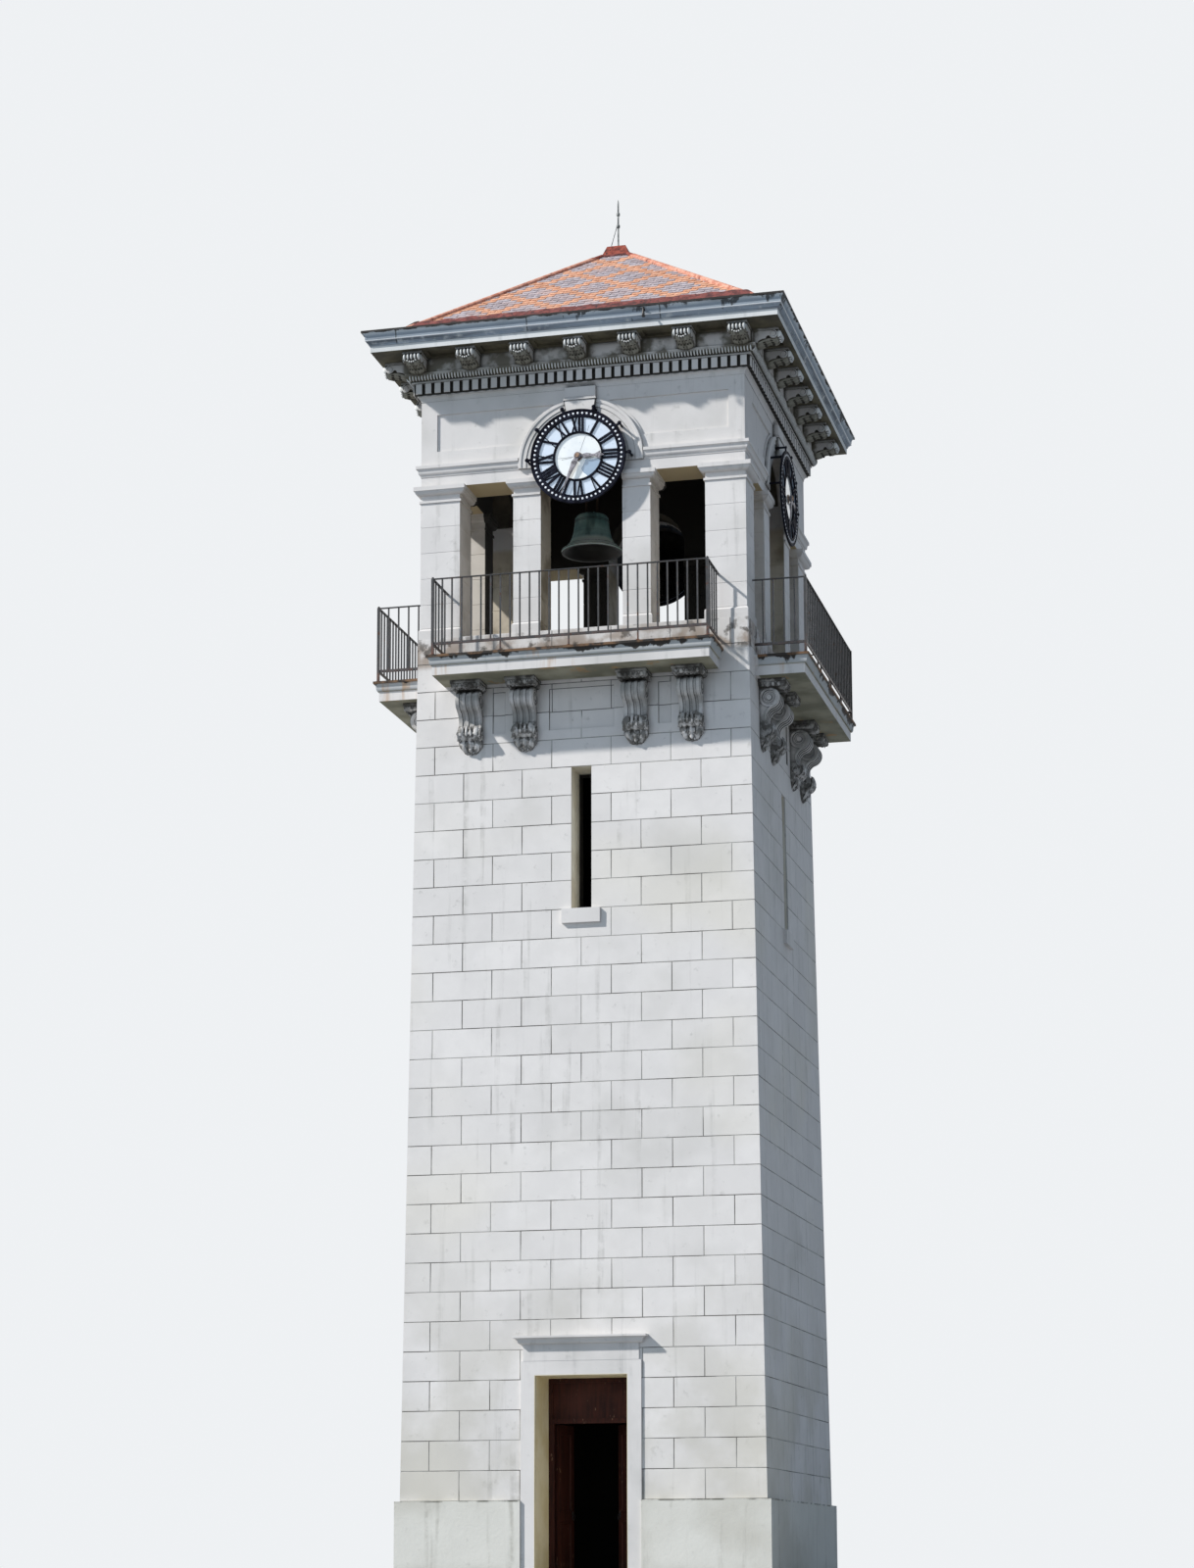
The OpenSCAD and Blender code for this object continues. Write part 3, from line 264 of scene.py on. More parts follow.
class Geo:
    """Vertices and faces of a piece, with a tint for each face"""

    def __init__(s):
        s.v, s.f, s.t = [], [], []

    def add(s, verts, faces, tint):
        n = len(s.v)
        s.v.extend(tuple(p) for p in verts)
        s.f.extend(tuple(n + i for i in f) for f in faces)
        s.t.extend([tint] * len(faces))

    def copy(s, other, m, jitter=0.0):
        """Adds another shape through a matrix, its tint moved by up to jitter"""
        n = len(s.v)
        s.v.extend(tuple(m @ Vector(p)) for p in other.v)
        s.f.extend(tuple(n + i for i in f) for f in other.f)
        d = rng.uniform(-jitter, jitter)
        s.t.extend([t + d for t in other.t])

    def tip(s, point, n, tint):
        """Closes the last row of n points in one point"""
        top = len(s.v)
        s.v.append(tuple(point))
        for j in range(n):
            s.f.append((top - n + j, top - n + (j + 1) % n, top))
            s.t.append(tint)

    def grid(s, rows, tint=0.5, ring=False, caps=False):
        """Quads between rows of points; ring closes each row"""
        k = len(rows[0])
        n = len(s.v)
        for r in rows:
            s.v.extend(tuple(p) for p in r)
        for i in range(len(rows) - 1):
            for j in range(k if ring else k - 1):
                a, b = n + i * k + j, n + i * k + (j + 1) % k
                s.f.append((a, b, b + k, a + k))
                s.t.append(tint)
        if caps:
            s.f.append(tuple(n + j for j in range(k))[::-1])
            s.f.append(tuple(n + (len(rows) - 1) * k + j for j in range(k)))
            s.t.extend([tint, tint])


def four(g, jitter=0.0, faces=(0, 90, 180, 270)):
    """The front face's shape on the faces asked for"""
    out = Geo()
    for a in faces:
        out.copy(g, Matrix.Rotation(radians(a), 4, "Z"), jitter)
    return out


def piece(name, g, slot, body="tower", smooth=False, mat=None):
    """Makes a piece that rides on a body; mat is its look where the slot's isn't used"""
    me = bpy.data.meshes.new(name)
    me.from_pydata(g.v, [], g.f)
    at = me.attributes.new("tint", "FLOAT", "FACE")
    at.data.foreach_set("value", g.t)
    me.materials.append(mats[mat or slot])
    if smooth:
        me.polygons.foreach_set("use_smooth", [True] * len(me.polygons))
    me.update()
    ob = add_object(name, me)
    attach(ob, body)


def old_paint(name, base, dirty, patch=0.5, streak=0.5):
    """Weathered white paint: blotches, run-off streaks and a rough skin. Gives the
    material and its bump"""
    s = Mat(name)
    fine = s.noise(7.0, 7.0, rough=0.62)
    runs = s.noise(2.2, 4.0, (2.6, 2.6, 0.16))
    s.col = s.mix(s.band(s.tint(), 0.0, 1.0), tuple(v * 0.93 for v in base),
                  tuple(min(1.0, v * 1.05) for v in base))
    s.over(dirty, s.blot(0.55, 4.0, 0.5, 0.72, patch))
    s.over(tuple(v * 0.62 for v in dirty), s.band(runs, 0.56, 0.74, streak), s.band(fine, 0.3, 0.6))
    s.over(tuple(v * 0.55 for v in dirty), s.band(fine, 0.6, 0.76, 0.35))
    skin = s.noise(2.3, 7.0, rough=0.6)
    s.over(tuple(v * 0.8 for v in base), s.band(skin, 0.34, 0.66, 0.3))
    return s, s.add(fine, s.mul(skin, 0.8))


WHITE = rgb(229, 225, 222)
STAIN = rgb(176, 174, 166)
# Painted shade: near black for the inside of the belfry and the shaft, and deep in the slits
INSIDE_SHADE = rgb(38, 35, 30)
TAN = rgb(192, 178, 150)


def in_belfry(s):
    """1 inside the belfry and the shaft, which aren't painted; where it is 1 the colour is darkened as
    painted shade
    """
    return s.far(CHAMBER + 0.01, CHAMBER + 0.004)


def near_middle(s):
    """How far from the middle of a face"""
    return s.math("MINIMUM", s.abs(s.x), s.abs(s.y))


def cream(s):
    """The doorway's cream, painted paler than it is as painted light on its reveals"""
    return s.mix(s.blot(2.0, 5.0, 0.35, 0.65), rgb(230, 216, 176), rgb(246, 236, 208))


def make_ashlar(name, jointed):
    """Wall with stained reveals, some of them painted paler or darker as painted light and shade; jointed
    adds the mortar between its stones
    """
    s, fine = old_paint(name, WHITE, STAIN, patch=0.45, streak=0.45)
    s.over(rgb(188, 184, 172), s.up(5.2, 1.6, 0.55), s.blot(0.9, 5.0, 0.42, 0.62))
    # Bare tan stone in the belfry's reveals; less of it on the outer openings' reveals, a painted light that
    # makes them paler
    reveal = s.mul(s.up(13.0, 13.2), s.far(2.328, 2.322), s.up(15.5, 15.4))
    middle = near_middle(s)
    tan = s.mul(reveal, s.add(0.25, s.band(middle, 0.95, 0.8, 0.45)))
    s.over(TAN, tan)
    s.over(rgb(120, 106, 82), tan, s.blot(1.7, 5.0, 0.45, 0.65))
    # Painted shade: the soffits of the belfry's arches are dark
    vault = s.mul(s.up(15.6, 15.66), s.far(2.27, 2.24))
    s.over(s.mix(s.blot(2.0, 5.0, 0.35, 0.65), rgb(46, 42, 36), rgb(84, 78, 66)), vault)
    # Depth behind the wall's face
    into = s.add(s.mul(s.add(s.z, -PLINTH_TOP), -BATTER), SHAFT_HALF, s.mul(s.reach(), -1.0))
    # The slit's reveals are painted near white, paler than their stone: a painted light against the shade in
    # the slit
    slit = s.mul(s.level(9.28, 9.3, 11.3, 11.32), s.band(middle, 0.16, 0.15), s.band(into, 0.012, 0.02))
    s.over(s.mix(s.blot(2.4, 5.0, 0.35, 0.65), rgb(222, 215, 198), rgb(244, 240, 228)), slit)
    door = s.mul(s.level(0.1, 0.15, 2.95, 2.97), s.band(middle, 0.7, 0.68), s.band(into, 0.012, 0.02))
    s.over(cream(s), door)
    # Painted shade deep in the slit
    s.over(INSIDE_SHADE, slit, s.band(into, 0.42, 0.5))
    s.over(INSIDE_SHADE, in_belfry(s))
    # Painted shade on the sides of the sunken panels
    s.over(rgb(74, 72, 68), s.level(11.83, 11.836, 12.43, 12.434), s.band(into, 0.003, 0.005),
           s.band(into, 0.0235, 0.022), 0.85)
    if jointed:
        base = s.abs(s.add(s.reach(), -TOP_HALF))
        seam = s.most(s.mul(s.band(s.abs(into), 0.0022, 0.0012), s.up(SHAFT_TOP + 0.05, SHAFT_TOP)),
                      s.mul(s.band(base, 0.002, 0.001), s.level(SHAFT_TOP - 0.02, SHAFT_TOP, 13.26, 13.27)))
        s.over(s.mix(s.blot(1.5, 6.0, 0.38, 0.64), rgb(78, 76, 72), rgb(178, 176, 171)), seam)
    s.done(0.85, fine, 0.25, 0.006)


def make_stone():
    s, fine = old_paint("stone", WHITE, STAIN, patch=0.4, streak=0.45)
    s.over(rgb(190, 186, 175), s.up(6.0, 1.4, 0.6), s.blot(0.8, 5.0, 0.4, 0.62))
    s.over(rgb(222, 216, 200), s.blot(0.35, 2.0, 0.5, 0.7, 0.35))
    wet = s.band(s.noise(3.0, 5.0, (1.0, 1.0, 0.3)), 0.5, 0.7)
    s.over(rgb(120, 118, 108), wet, s.up(12.2, 12.9, 0.5), s.up(13.5, 12.9))
    ledge = s.level(12.8, 12.9, 13.0, 13.6)
    s.over(rgb(142, 122, 104), ledge, s.blot(2.2, 6.0, 0.46, 0.6, 0.75))
    s.over(rgb(62, 56, 48), ledge, s.blot(4.6, 7.0, 0.54, 0.62, 0.85))
    s.over(INSIDE_SHADE, in_belfry(s))
    s.done(0.85, fine, 0.3, 0.006)


def make_plinth():
    s, _ = old_paint("plinth", rgb(226, 224, 216), rgb(186, 182, 170), patch=0.7, streak=0.6)
    s.over(rgb(104, 100, 86), s.up(0.55, 0.0), s.blot(1.6, 5.0, 0.35, 0.6))
    s.over(rgb(96, 94, 84), s.up(1.27, 1.3), s.blot(4.0, 4.0, 0.4, 0.6))
    door = s.mul(s.band(s.abs(s.x), 0.7, 0.68), s.band(s.y, -2.545, -2.535), s.band(s.y, -1.0, -1.2))
    s.over(cream(s), door)
    s.over(INSIDE_SHADE, in_belfry(s))
    s.done(0.9, s.noise(24.0, 5.0), 0.4, 0.008)


def make_trim():
    s, fine = old_paint("trim", WHITE, rgb(165, 166, 162), patch=0.4, streak=0.4)
    slab = s.mul(s.level(12.52, 12.54, 12.82, 12.83), s.far(2.4, 2.42))
    # Faces turned down are olive-grey: stain and painted shade
    under = s.mul(slab, s.band(s.nz, -0.5, -0.8))
    s.over(s.mix(s.blot(2.0, 5.0, 0.35, 0.7), rgb(118, 116, 98), rgb(162, 158, 138)), under)
    # Painted shade: blue-grey on the slab's upper moulding
    cyma_shade = s.mul(slab, s.up(12.675, 12.685), s.band(s.nz, 0.8, 0.5))
    s.over(rgb(142, 152, 156), cyma_shade, 0.55)
    rust = s.mul(slab, s.band(s.noise(3.4, 5.0, (1.0, 1.0, 0.08)), 0.6, 0.68, 0.6))
    s.over(rgb(176, 134, 84), rust)
    top = s.up(12.66, 12.83)
    crust = s.mul(slab, s.band(s.add(s.noise(2.6, 7.0, (1.0, 1.0, 0.55)), s.mul(top, 0.17)), 0.6, 0.64))
    s.over(rgb(34, 31, 28), crust, s.up(12.64, 12.7))
    lip = s.mix(s.blot(6.0, 5.0, 0.42, 0.58), rgb(30, 26, 24), rgb(112, 84, 60))
    s.over(lip, slab, s.up(12.776, 12.786))
    jamb = s.mul(s.band(s.abs(s.x), 0.64, 0.632), s.band(s.y, -2.4, -2.45), s.up(2.97, 2.94))
    s.over(rgb(206, 194, 154), jamb)
    inner = s.mul(s.up(15.4, 15.45), s.band(s.nz, -0.5, -0.8), s.far(2.335, 2.325))
    s.over(rgb(186, 168, 132), inner)
    s.over(INSIDE_SHADE, in_belfry(s), s.up(13.0, 13.2))
    s.done(0.82, fine, 0.25, 0.006)


def make_carving(name, base, dirty, dark, much, less_dirt_and_shade=0.0):
    """Carved stone, its recesses black with dirt and painted shade"""
    s, fine = old_paint(name, base, dirty, patch=0.5, streak=0.4)
    # Dirt and painted shade: dark where ambient occlusion finds recesses
    ao = s.node("ShaderNodeAmbientOcclusion", {"Distance": 0.07}, samples=8, only_local=False).outputs["AO"]
    grime_and_shade = s.mul(s.band(ao, 0.96, 0.5), s.blot(6.0, 5.0, 0.1, 0.5))
    s.over(dark, grime_and_shade, much)
    cons = s.level(11.2, 11.3, 12.53, 12.56)
    old = s.mul(cons, s.blot(3.2, 7.0, 0.36, 0.62, 0.6))
    s.over(rgb(116, 116, 112), old)
    capped = s.mul(cons, s.up(12.34, 12.42), s.blot(9.0, 6.0, 0.36, 0.6, 0.85))
    s.over(rgb(46, 43, 37), capped)
    foot = s.mul(s.up(11.99, 11.93), s.blot(13.0, 6.0, 0.43, 0.56, 0.72))
    s.over(rgb(66, 64, 58), foot, cons)
    # Painted shade between the dentils
    dentil_gap_shade = s.mul(s.level(16.838, 16.842, 16.996, 17.0), s.far(2.428, 2.42))
    s.over(rgb(36, 34, 31), dentil_gap_shade, s.far(2.34, 2.36))
    upper = s.up(17.0, 17.05)
    # Faces turned down are olive: dirt and painted shade
    soffit_grime_and_shade = s.mul(upper, s.band(s.nz, 0.1, -0.5, 0.8 * (1 - less_dirt_and_shade)))
    s.over(rgb(86, 81, 66), soffit_grime_and_shade)
    # Painted shade between the eggs, on the moulding behind them
    behind = s.mul(s.level(17.022, 17.026, 17.118, 17.125), s.far(2.515, 2.5))
    s.over(rgb(30, 28, 25), behind, 0.95 * (1 - less_dirt_and_shade))
    bare = s.mul(upper, s.far(2.6, 2.54), s.blot(2.6, 6.0, 0.44, 0.58))
    s.over(rgb(88, 83, 68), bare, 0.85 * (1 - less_dirt_and_shade))
    s.over(INSIDE_SHADE, in_belfry(s))
    s.done(0.85, fine, 0.3, 0.006)


def make_cornice():
    s, fine = old_paint("cornice", rgb(232, 233, 232), rgb(178, 182, 182), patch=0.5, streak=0.5)
    # Faces turned down are dark olive: dirt and painted shade
    under = s.most(s.mul(s.band(s.nz, -0.5, -0.8), s.up(CORNICE_Z, CORNICE_Z - 0.02)),
                   s.mul(s.far(2.88, 2.86), s.up(CORNICE_Z - 0.02, CORNICE_Z - 0.03)))
    s.over(s.mix(s.blot(1.6, 6.0, 0.35, 0.68), rgb(52, 48, 36), rgb(104, 98, 78)), under)
    # Painted shade: the crown is blue-grey, lighter on faces turned down and darker on upright ones to even
    # out its shading, with darker streaks
    steep = s.band(s.nz, -0.7, -0.1)
    blue = s.mix(steep, rgb(206, 214, 220), rgb(142, 154, 166))
    blue = s.mix(s.band(s.noise(1.3, 6.0, (1.0, 1.0, 5.0)), 0.45, 0.7, 0.5), blue, rgb(98, 106, 116))
    crown = s.mul(s.up(17.47, 17.474), s.band(s.nz, 0.8, 0.5))
    s.over(blue, crown, 0.92)
    # Painted shade in streaked blue-greys on the crown's lowest band
    low = s.mul(s.level(17.425, 17.431, 17.489, 17.493), s.blot(6.0, 5.0, 0.25, 0.45))
    streak = s.band(s.noise(0.7, 6.0, (1.0, 1.0, 14.0)), 0.42, 0.6)
    s.over(s.mix(streak, rgb(150, 162, 176), rgb(84, 92, 104)), low, 0.85)
    drip = s.noise(2.2, 6.0, (1.6, 1.6, 0.35))
    high = s.up(17.44, 17.62)
    crust = s.mul(s.band(s.add(drip, s.mul(high, 0.1)), 0.66, 0.69), s.up(CORNICE_Z, CORNICE_Z + 0.03))
    edge = s.band(s.add(s.z, s.mul(s.add(s.noise(5.0, 6.0), -0.5), 0.05)), 17.596, 17.603)
    s.over(rgb(26, 23, 23), s.most(s.mul(crust, 0.85), edge))
    cut = s.math("PINGPONG", s.add(s.across(), 0.62), 0.95)
    s.over(rgb(48, 46, 42), s.band(cut, 0.012, 0.004), s.up(CORNICE_Z, CORNICE_Z + 0.03), 0.85)
    s.over(rgb(70, 66, 58), s.band(s.nz, 0.5, 0.8), 0.8)
    s.done(0.8, fine, 0.3, 0.008)
    s, fine = old_paint("fillet", rgb(238, 239, 240), rgb(188, 194, 200), patch=0.5, streak=0.4)
    s.done(0.7, fine, 0.2, 0.002)


# Materials of one mottled colour: the noise and its limits, two colours, roughness, the
# bump's noise, its strength and depth, metallic
PLAIN = {
    "paving": ((3.0, 5.0, 0.3, 0.7), (58, 54, 48), (92, 86, 76), 0.85, (30.0, 4.0), 0.4, 0.006, 0.0),
    "rod": ((12.0, 4.0, 0.4, 0.6), (70, 74, 76), (112, 116, 116), 0.45, (80.0, 3.0), 0.2, 0.001, 0.7),
    "milk": ((30.0, 3.0, 0.35, 0.65), (214, 220, 230), (240, 243, 246), 0.3, (40.0, 2.0), 0.1, 0.001, 0.0),
    "arbor": ((40.0, 5.0, 0.4, 0.6), (112, 88, 74), (150, 124, 104), 0.5, (40.0, 5.0), 0.3, 0.001, 0.4),
    # hollow: near black, painted shade for the insides of drilled holes
    "hollow": ((30.0, 3.0, 0.4, 0.6), (30, 28, 25), (58, 55, 48), 0.9, (80.0, 2.0), 0.1, 0.001, 0.0),
    "lead": ((30.0, 3.0, 0.4, 0.6), (92, 92, 96), (128, 126, 128), 0.6, (80.0, 2.0), 0.1, 0.001, 0.0),
}


def make_plain():
    for name, (blot, dark, light, rough, bump, strength, deep, metal) in PLAIN.items():
        s = Mat(name)
        s.col = s.mix(s.blot(*blot), rgb(*dark), rgb(*light))
        s.done(rough, s.noise(*bump), strength, deep, Metallic=metal)


def make_timber():
    s = Mat("timber")
    grain = s.noise(3.0, 6.0, (9.0, 9.0, 0.6), 0.6)
    s.col = s.mix(s.band(grain, 0.3, 0.7), rgb(38, 18, 15), rgb(66, 31, 24))
    s.over(rgb(82, 46, 36), s.blot(1.5, 4.0, 0.5, 0.75, 0.5))
    s.over(rgb(60, 44, 36), s.up(0.75, 0.2), s.blot(6.0, 5.0, 0.45, 0.6))
    worn = s.band(s.noise(12.0, 6.0, (2.0, 2.0, 0.5)), 0.64, 0.72, 0.7)
    s.over(rgb(150, 122, 98), worn)
    s.done(0.7, grain, 0.35, 0.004, Specular_IOR_Level=0.2)
    s = Mat("beam")
    grain = s.noise(3.0, 6.0, (0.7, 9.0, 9.0), 0.6)
    s.col = s.mix(s.band(grain, 0.3, 0.7), rgb(34, 24, 18), rgb(66, 48, 34))
    s.done(0.8, grain, 0.5, 0.006)


def make_iron():
    s = Mat("iron")
    patch = s.noise(9.0, 5.0)
    s.col = s.mix(s.band(patch, 0.45, 0.6), rgb(14, 14, 17), rgb(42, 40, 42))
    rust = s.blot(14.0, 6.0, 0.6, 0.7)
    s.over(rgb(82, 52, 36), rust, 0.6)
    # Paler in patches on faces turned to the left: worn paint and a painted highlight
    s.over(rgb(128, 118, 112), s.band(s.nx, -0.2, -0.8, 0.3), s.blot(18.0, 6.0, 0.4, 0.6))
    foot = s.level(12.7, 12.8, 12.85, 13.05)
    s.over(rgb(88, 50, 30), foot, s.blot(20.0, 4.0, 0.35, 0.6))
    s.done(s.add(0.42, s.mul(rust, 0.4)), s.noise(60.0, 4.0), 0.35, 0.002)


def make_tiles():
    s = Mat("tile")
    k = s.tint()
    n = s.noise(16.0, 4.0)
    grey = s.mix(s.band(n, 0.35, 0.65), rgb(160, 150, 154), rgb(192, 182, 186))
    orange = s.mix(s.band(n, 0.35, 0.65), rgb(204, 146, 114), rgb(226, 178, 150))
    s.col = s.mix(s.band(k, 0.45, 0.55), grey, orange)
    odd = s.math("FRACT", s.mul(k, 40.0))
    s.over(rgb(122, 84, 70), s.band(odd, 0.4, 1.0, 0.22))
    s.over(rgb(226, 176, 150), s.blot(2.2, 4.0, 0.5, 0.72, 0.3))
    s.over(rgb(64, 52, 48), s.blot(40.0, 5.0, 0.62, 0.7), 0.8)
    pale = s.band(s.spots(34.0), 0.16, 0.08, 0.75)
    s.over(rgb(226, 222, 214), pale, s.blot(7.0, 3.0, 0.5, 0.6))
    s.done(0.85, n, 0.3, 0.003, Specular_IOR_Level=0.25)
    s = Mat("edging")
    n = s.noise(14.0, 6.0)
    s.col = s.mix(s.band(n, 0.35, 0.65), rgb(106, 40, 30), rgb(158, 76, 58))
    s.over(rgb(48, 26, 24), s.blot(26.0, 5.0, 0.55, 0.66))
    s.over(rgb(190, 140, 122), s.band(s.spots(22.0), 0.14, 0.06, 0.5))
    hip = s.mix(s.band(n, 0.35, 0.65), rgb(196, 126, 102), rgb(228, 174, 150))
    hip = s.mix(s.blot(9.0, 6.0, 0.56, 0.66, 0.7), hip, rgb(112, 56, 46))
    hip = s.mix(s.up(19.5, 19.54), hip, s.col)
    s.over(hip, s.up(17.7, 17.78), 0.88)
    s.done(0.85, n, 0.7, 0.014)
    s = Mat("eaves")
    n = s.noise(11.0, 7.0)
    s.col = s.mix(s.band(n, 0.35, 0.62), rgb(74, 32, 32), rgb(128, 66, 60))
    s.over(rgb(36, 20, 22), s.blot(17.0, 6.0, 0.54, 0.64, 0.8))
    s.done(0.85, n, 0.8, 0.02)


def make_bell():
    s = Mat("bell")
    n = s.noise(3.0, 6.0)
    runs = s.noise(4.0, 5.0, (2.0, 2.0, 0.3))
    s.col = s.mix(s.band(n, 0.35, 0.65), rgb(104, 146, 146), rgb(160, 196, 192))
    s.over(rgb(58, 82, 84), s.band(runs, 0.5, 0.68, 0.6))
    # Painted highlights: the lip and the faces turned to the left are painted pale, as if lit
    lip = s.up(15.17, 15.1)
    s.over(s.mix(s.band(n, 0.4, 0.6), rgb(214, 236, 222), rgb(240, 250, 242)), lip, 0.9)
    lit = s.mul(s.band(s.nx, 0.1, -0.8), s.band(s.noise(5.0, 6.0, (1.0, 1.0, 0.5)), 0.35, 0.55))
    s.over(rgb(206, 232, 222), lit, 0.8)
    # Painted shade: faces turned down and those turned into the bell are near black
    s.over(rgb(34, 36, 34), s.band(s.nz, -0.35, -0.75))
    wide = s.add(s.mul(s.nx, s.add(s.x, 0.31)), s.mul(s.ny, s.add(s.y, 0.45)))
    s.over(rgb(26, 26, 24), s.band(wide, 0.0, -0.05))
    s.done(0.55, runs, 0.25, 0.004)


def make_dial():
    s = Mat("dial_iron")
    n = s.noise(10.0, 5.0)
    s.col = s.mix(s.band(n, 0.4, 0.62), rgb(14, 15, 24), rgb(32, 34, 46))
    s.over(rgb(92, 88, 94), s.blot(34.0, 5.0, 0.62, 0.72, 0.5))
    s.done(0.6, n, 0.2, 0.002, IOR=1.12)
    s = Mat("dial_glass")
    rel = s.add(s.z, -DIAL_Z)
    u = s.across()
    rad = s.math("POWER", s.add(s.mul(u, u), s.mul(rel, rel)), 0.5)
    n = s.noise(2.6, 5.0)
    s.col = s.mix(s.band(rad, 0.34, 0.352), rgb(240, 241, 237), rgb(208, 219, 233))
    s.over(rgb(206, 212, 220), s.band(n, 0.45, 0.7, 0.4))
    front = s.band(s.y, -2.3, -2.4)
    edge = s.add(s.x, s.mul(rel, 0.12), s.mul(s.add(s.noise(5.0, 3.0), -0.5), 0.1))
    edge = s.add(edge, s.mul(s.math("SINE", s.mul(rel, 26.0)), 0.035))
    shade = s.mul(s.band(edge, 0.062, 0.068), s.band(rel, -0.045, -0.06))
    s.over(rgb(132, 156, 180), shade, front, s.band(rad, 0.352, 0.345))
    s.over(rgb(150, 158, 168), s.blot(22.0, 5.0, 0.62, 0.72, 0.35))
    # Painted shade: the glass's back, turned into the belfry, is near black
    inner = s.band(s.add(s.mul(s.nx, s.x), s.mul(s.ny, s.y)), -0.2, -0.6)
    s.over(rgb(22, 22, 24), inner)
    s.done(0.16, s.noise(3.0, 3.0), 0.05, 0.002, Coat_Weight=1.0)
    s = Mat("hands")
    n = s.noise(22.0, 5.0)
    s.col = s.mix(s.band(n, 0.38, 0.62), rgb(92, 88, 92), rgb(150, 146, 152))
    s.over(rgb(50, 46, 48), s.blot(60.0, 5.0, 0.56, 0.66, 0.8))
    s.done(0.5, n, 0.25, 0.001, Metallic=0.35)


make_ashlar("ashlar", True)
make_ashlar("ashlar_piers", False)
make_carving("carving", WHITE, rgb(150, 150, 142), rgb(40, 38, 32), 0.9)
make_carving("carving_dark", rgb(186, 184, 172), rgb(112, 108, 94), rgb(30, 27, 22), 1.0, 0.55)
make_carving("carving_pale", rgb(240, 240, 237), rgb(214, 214, 210), rgb(40, 36, 30), 0.9, 1.0)
for make in (make_stone, make_plinth, make_trim, make_cornice, make_plain, make_timber, make_iron,
             make_tiles, make_bell, make_dial):
    make()

for sub in frame["record"]["subparts"]:
    ob = NODES[sub["node"]]
    if not ob.material_slots:
        ob.data.materials.append(mats[sub["material_slot"]])
    for slot in ob.material_slots:
        slot.material = mats[sub["material_slot"]]

# Floor
me = bpy.data.meshes.new("floor")
me.from_pydata([(400 * x, 400 * y, 0) for x, y in CORNERS], [], [(0, 1, 2, 3)])
floor = add_object("floor", me)
fm = Mat("floor")
path = fm.node("ShaderNodeLightPath").outputs
seen = fm.most(fm.most(path["Is Camera Ray"], path["Is Glossy Ray"]), path["Is Transmission Ray"])
fm.col = fm.mix(seen, rgb(132, 134, 136), rgb(214, 213, 210))
fm.done(0.9)
me.materials.append(fm.m)


def wall_at(z):
    """Half the shaft's width at a height"""
    return SHAFT_HALF - BATTER * (z - PLINTH_TOP)


# A stone stands proud of the wall, with a gap round it and a chamfered edge
PROUD = 0.004
GAP = 0.0045
CHAM = 0.003


def block(g, u0, u1, z0, z1, w, holes=(), ends=(0, 0)):
    """A stone's face with holes cut out; w gives the wall's half width at a height, ends
    flags the sides that meet the next face at the tower's corner"""
    t = rng.uniform(0.25, 0.75)
    us = sorted({u0, u1} | {u for h in holes for u in h[:2] if u0 < u < u1})
    zs = sorted({z0, z1} | {z for h in holes for z in h[2:] if z0 < z < z1})

    def solid(i, j):
        if not (0 <= i < len(us) - 1 and 0 <= j < len(zs) - 1):
            return False
        cu, cz = (us[i] + us[i + 1]) / 2, (zs[j] + zs[j + 1]) / 2
        return not any(h[0] < cu < h[1] and h[2] < cz < h[3] for h in holes)

    def pt(u, z, out):
        inset = GAP + (CHAM if out else 0)
        zz = z + inset if z == z0 else z - inset if z == z1 else z
        depth = w(zz) + (PROUD if out else -0.002)
        if u == u0:
            uu = -(w(zz) + PROUD) if ends[0] else u + inset
        elif u == u1:
            uu = w(zz) + PROUD if ends[1] else u - inset
        else:
            uu = u
        return uu, -depth, zz

    for i in range(len(us) - 1):
        for j in range(len(zs) - 1):
            if not solid(i, j):
                continue
            a, b, c, d = us[i], us[i + 1], zs[j], zs[j + 1]
            g.add([pt(a, c, 1), pt(b, c, 1), pt(b, d, 1), pt(a, d, 1)], [(0, 1, 2, 3)], t)
            for p, q, k, l, end in (((a, c), (b, c), i, j - 1, 0),
                                    ((b, c), (b, d), i + 1, j, ends[1] and b == u1),
                                    ((b, d), (a, d), i, j + 1, 0),
                                    ((a, d), (a, c), i - 1, j, ends[0] and a == u0)):
                if not solid(k, l) and not end:
                    g.add([pt(*p, 0), pt(*q, 0), pt(*q, 1), pt(*p, 1)], [(0, 1, 2, 3)], t)


# Holes as u0, u1, z0, z1
SLIT = (-0.1425, 0.1425, 9.3, 11.3)
PANEL_Z = (11.839, 12.429)
PANELS = [(-0.46, 0.46, *PANEL_Z), (1.086, 1.266, *PANEL_Z), (-1.266, -1.086, *PANEL_Z)]
DOOR = (-0.64, 0.64, 1.0, 2.96)
# Upright joints of the even and the odd courses; EDGE stands for the tower's corner
JOINTS = ([-1.68, -0.84, 0.0, 0.84, 1.68], [-2.1, -1.26, -0.42, 0.42, 1.26, 2.1])
EDGE = 3.0


def course(g, i, z0, z1, w, holes):
    """The i-th course of stones"""
    us = [-EDGE] + JOINTS[i % 2] + [EDGE]
    for u0, u1 in zip(us, us[1:]):
        near = [h for h in holes if h[0] < u1 and h[1] > u0 and h[2] < z1 and h[3] > z0]
        block(g, u0, u1, z0, z1, w, near, (u0 == -EDGE, u1 == EDGE))


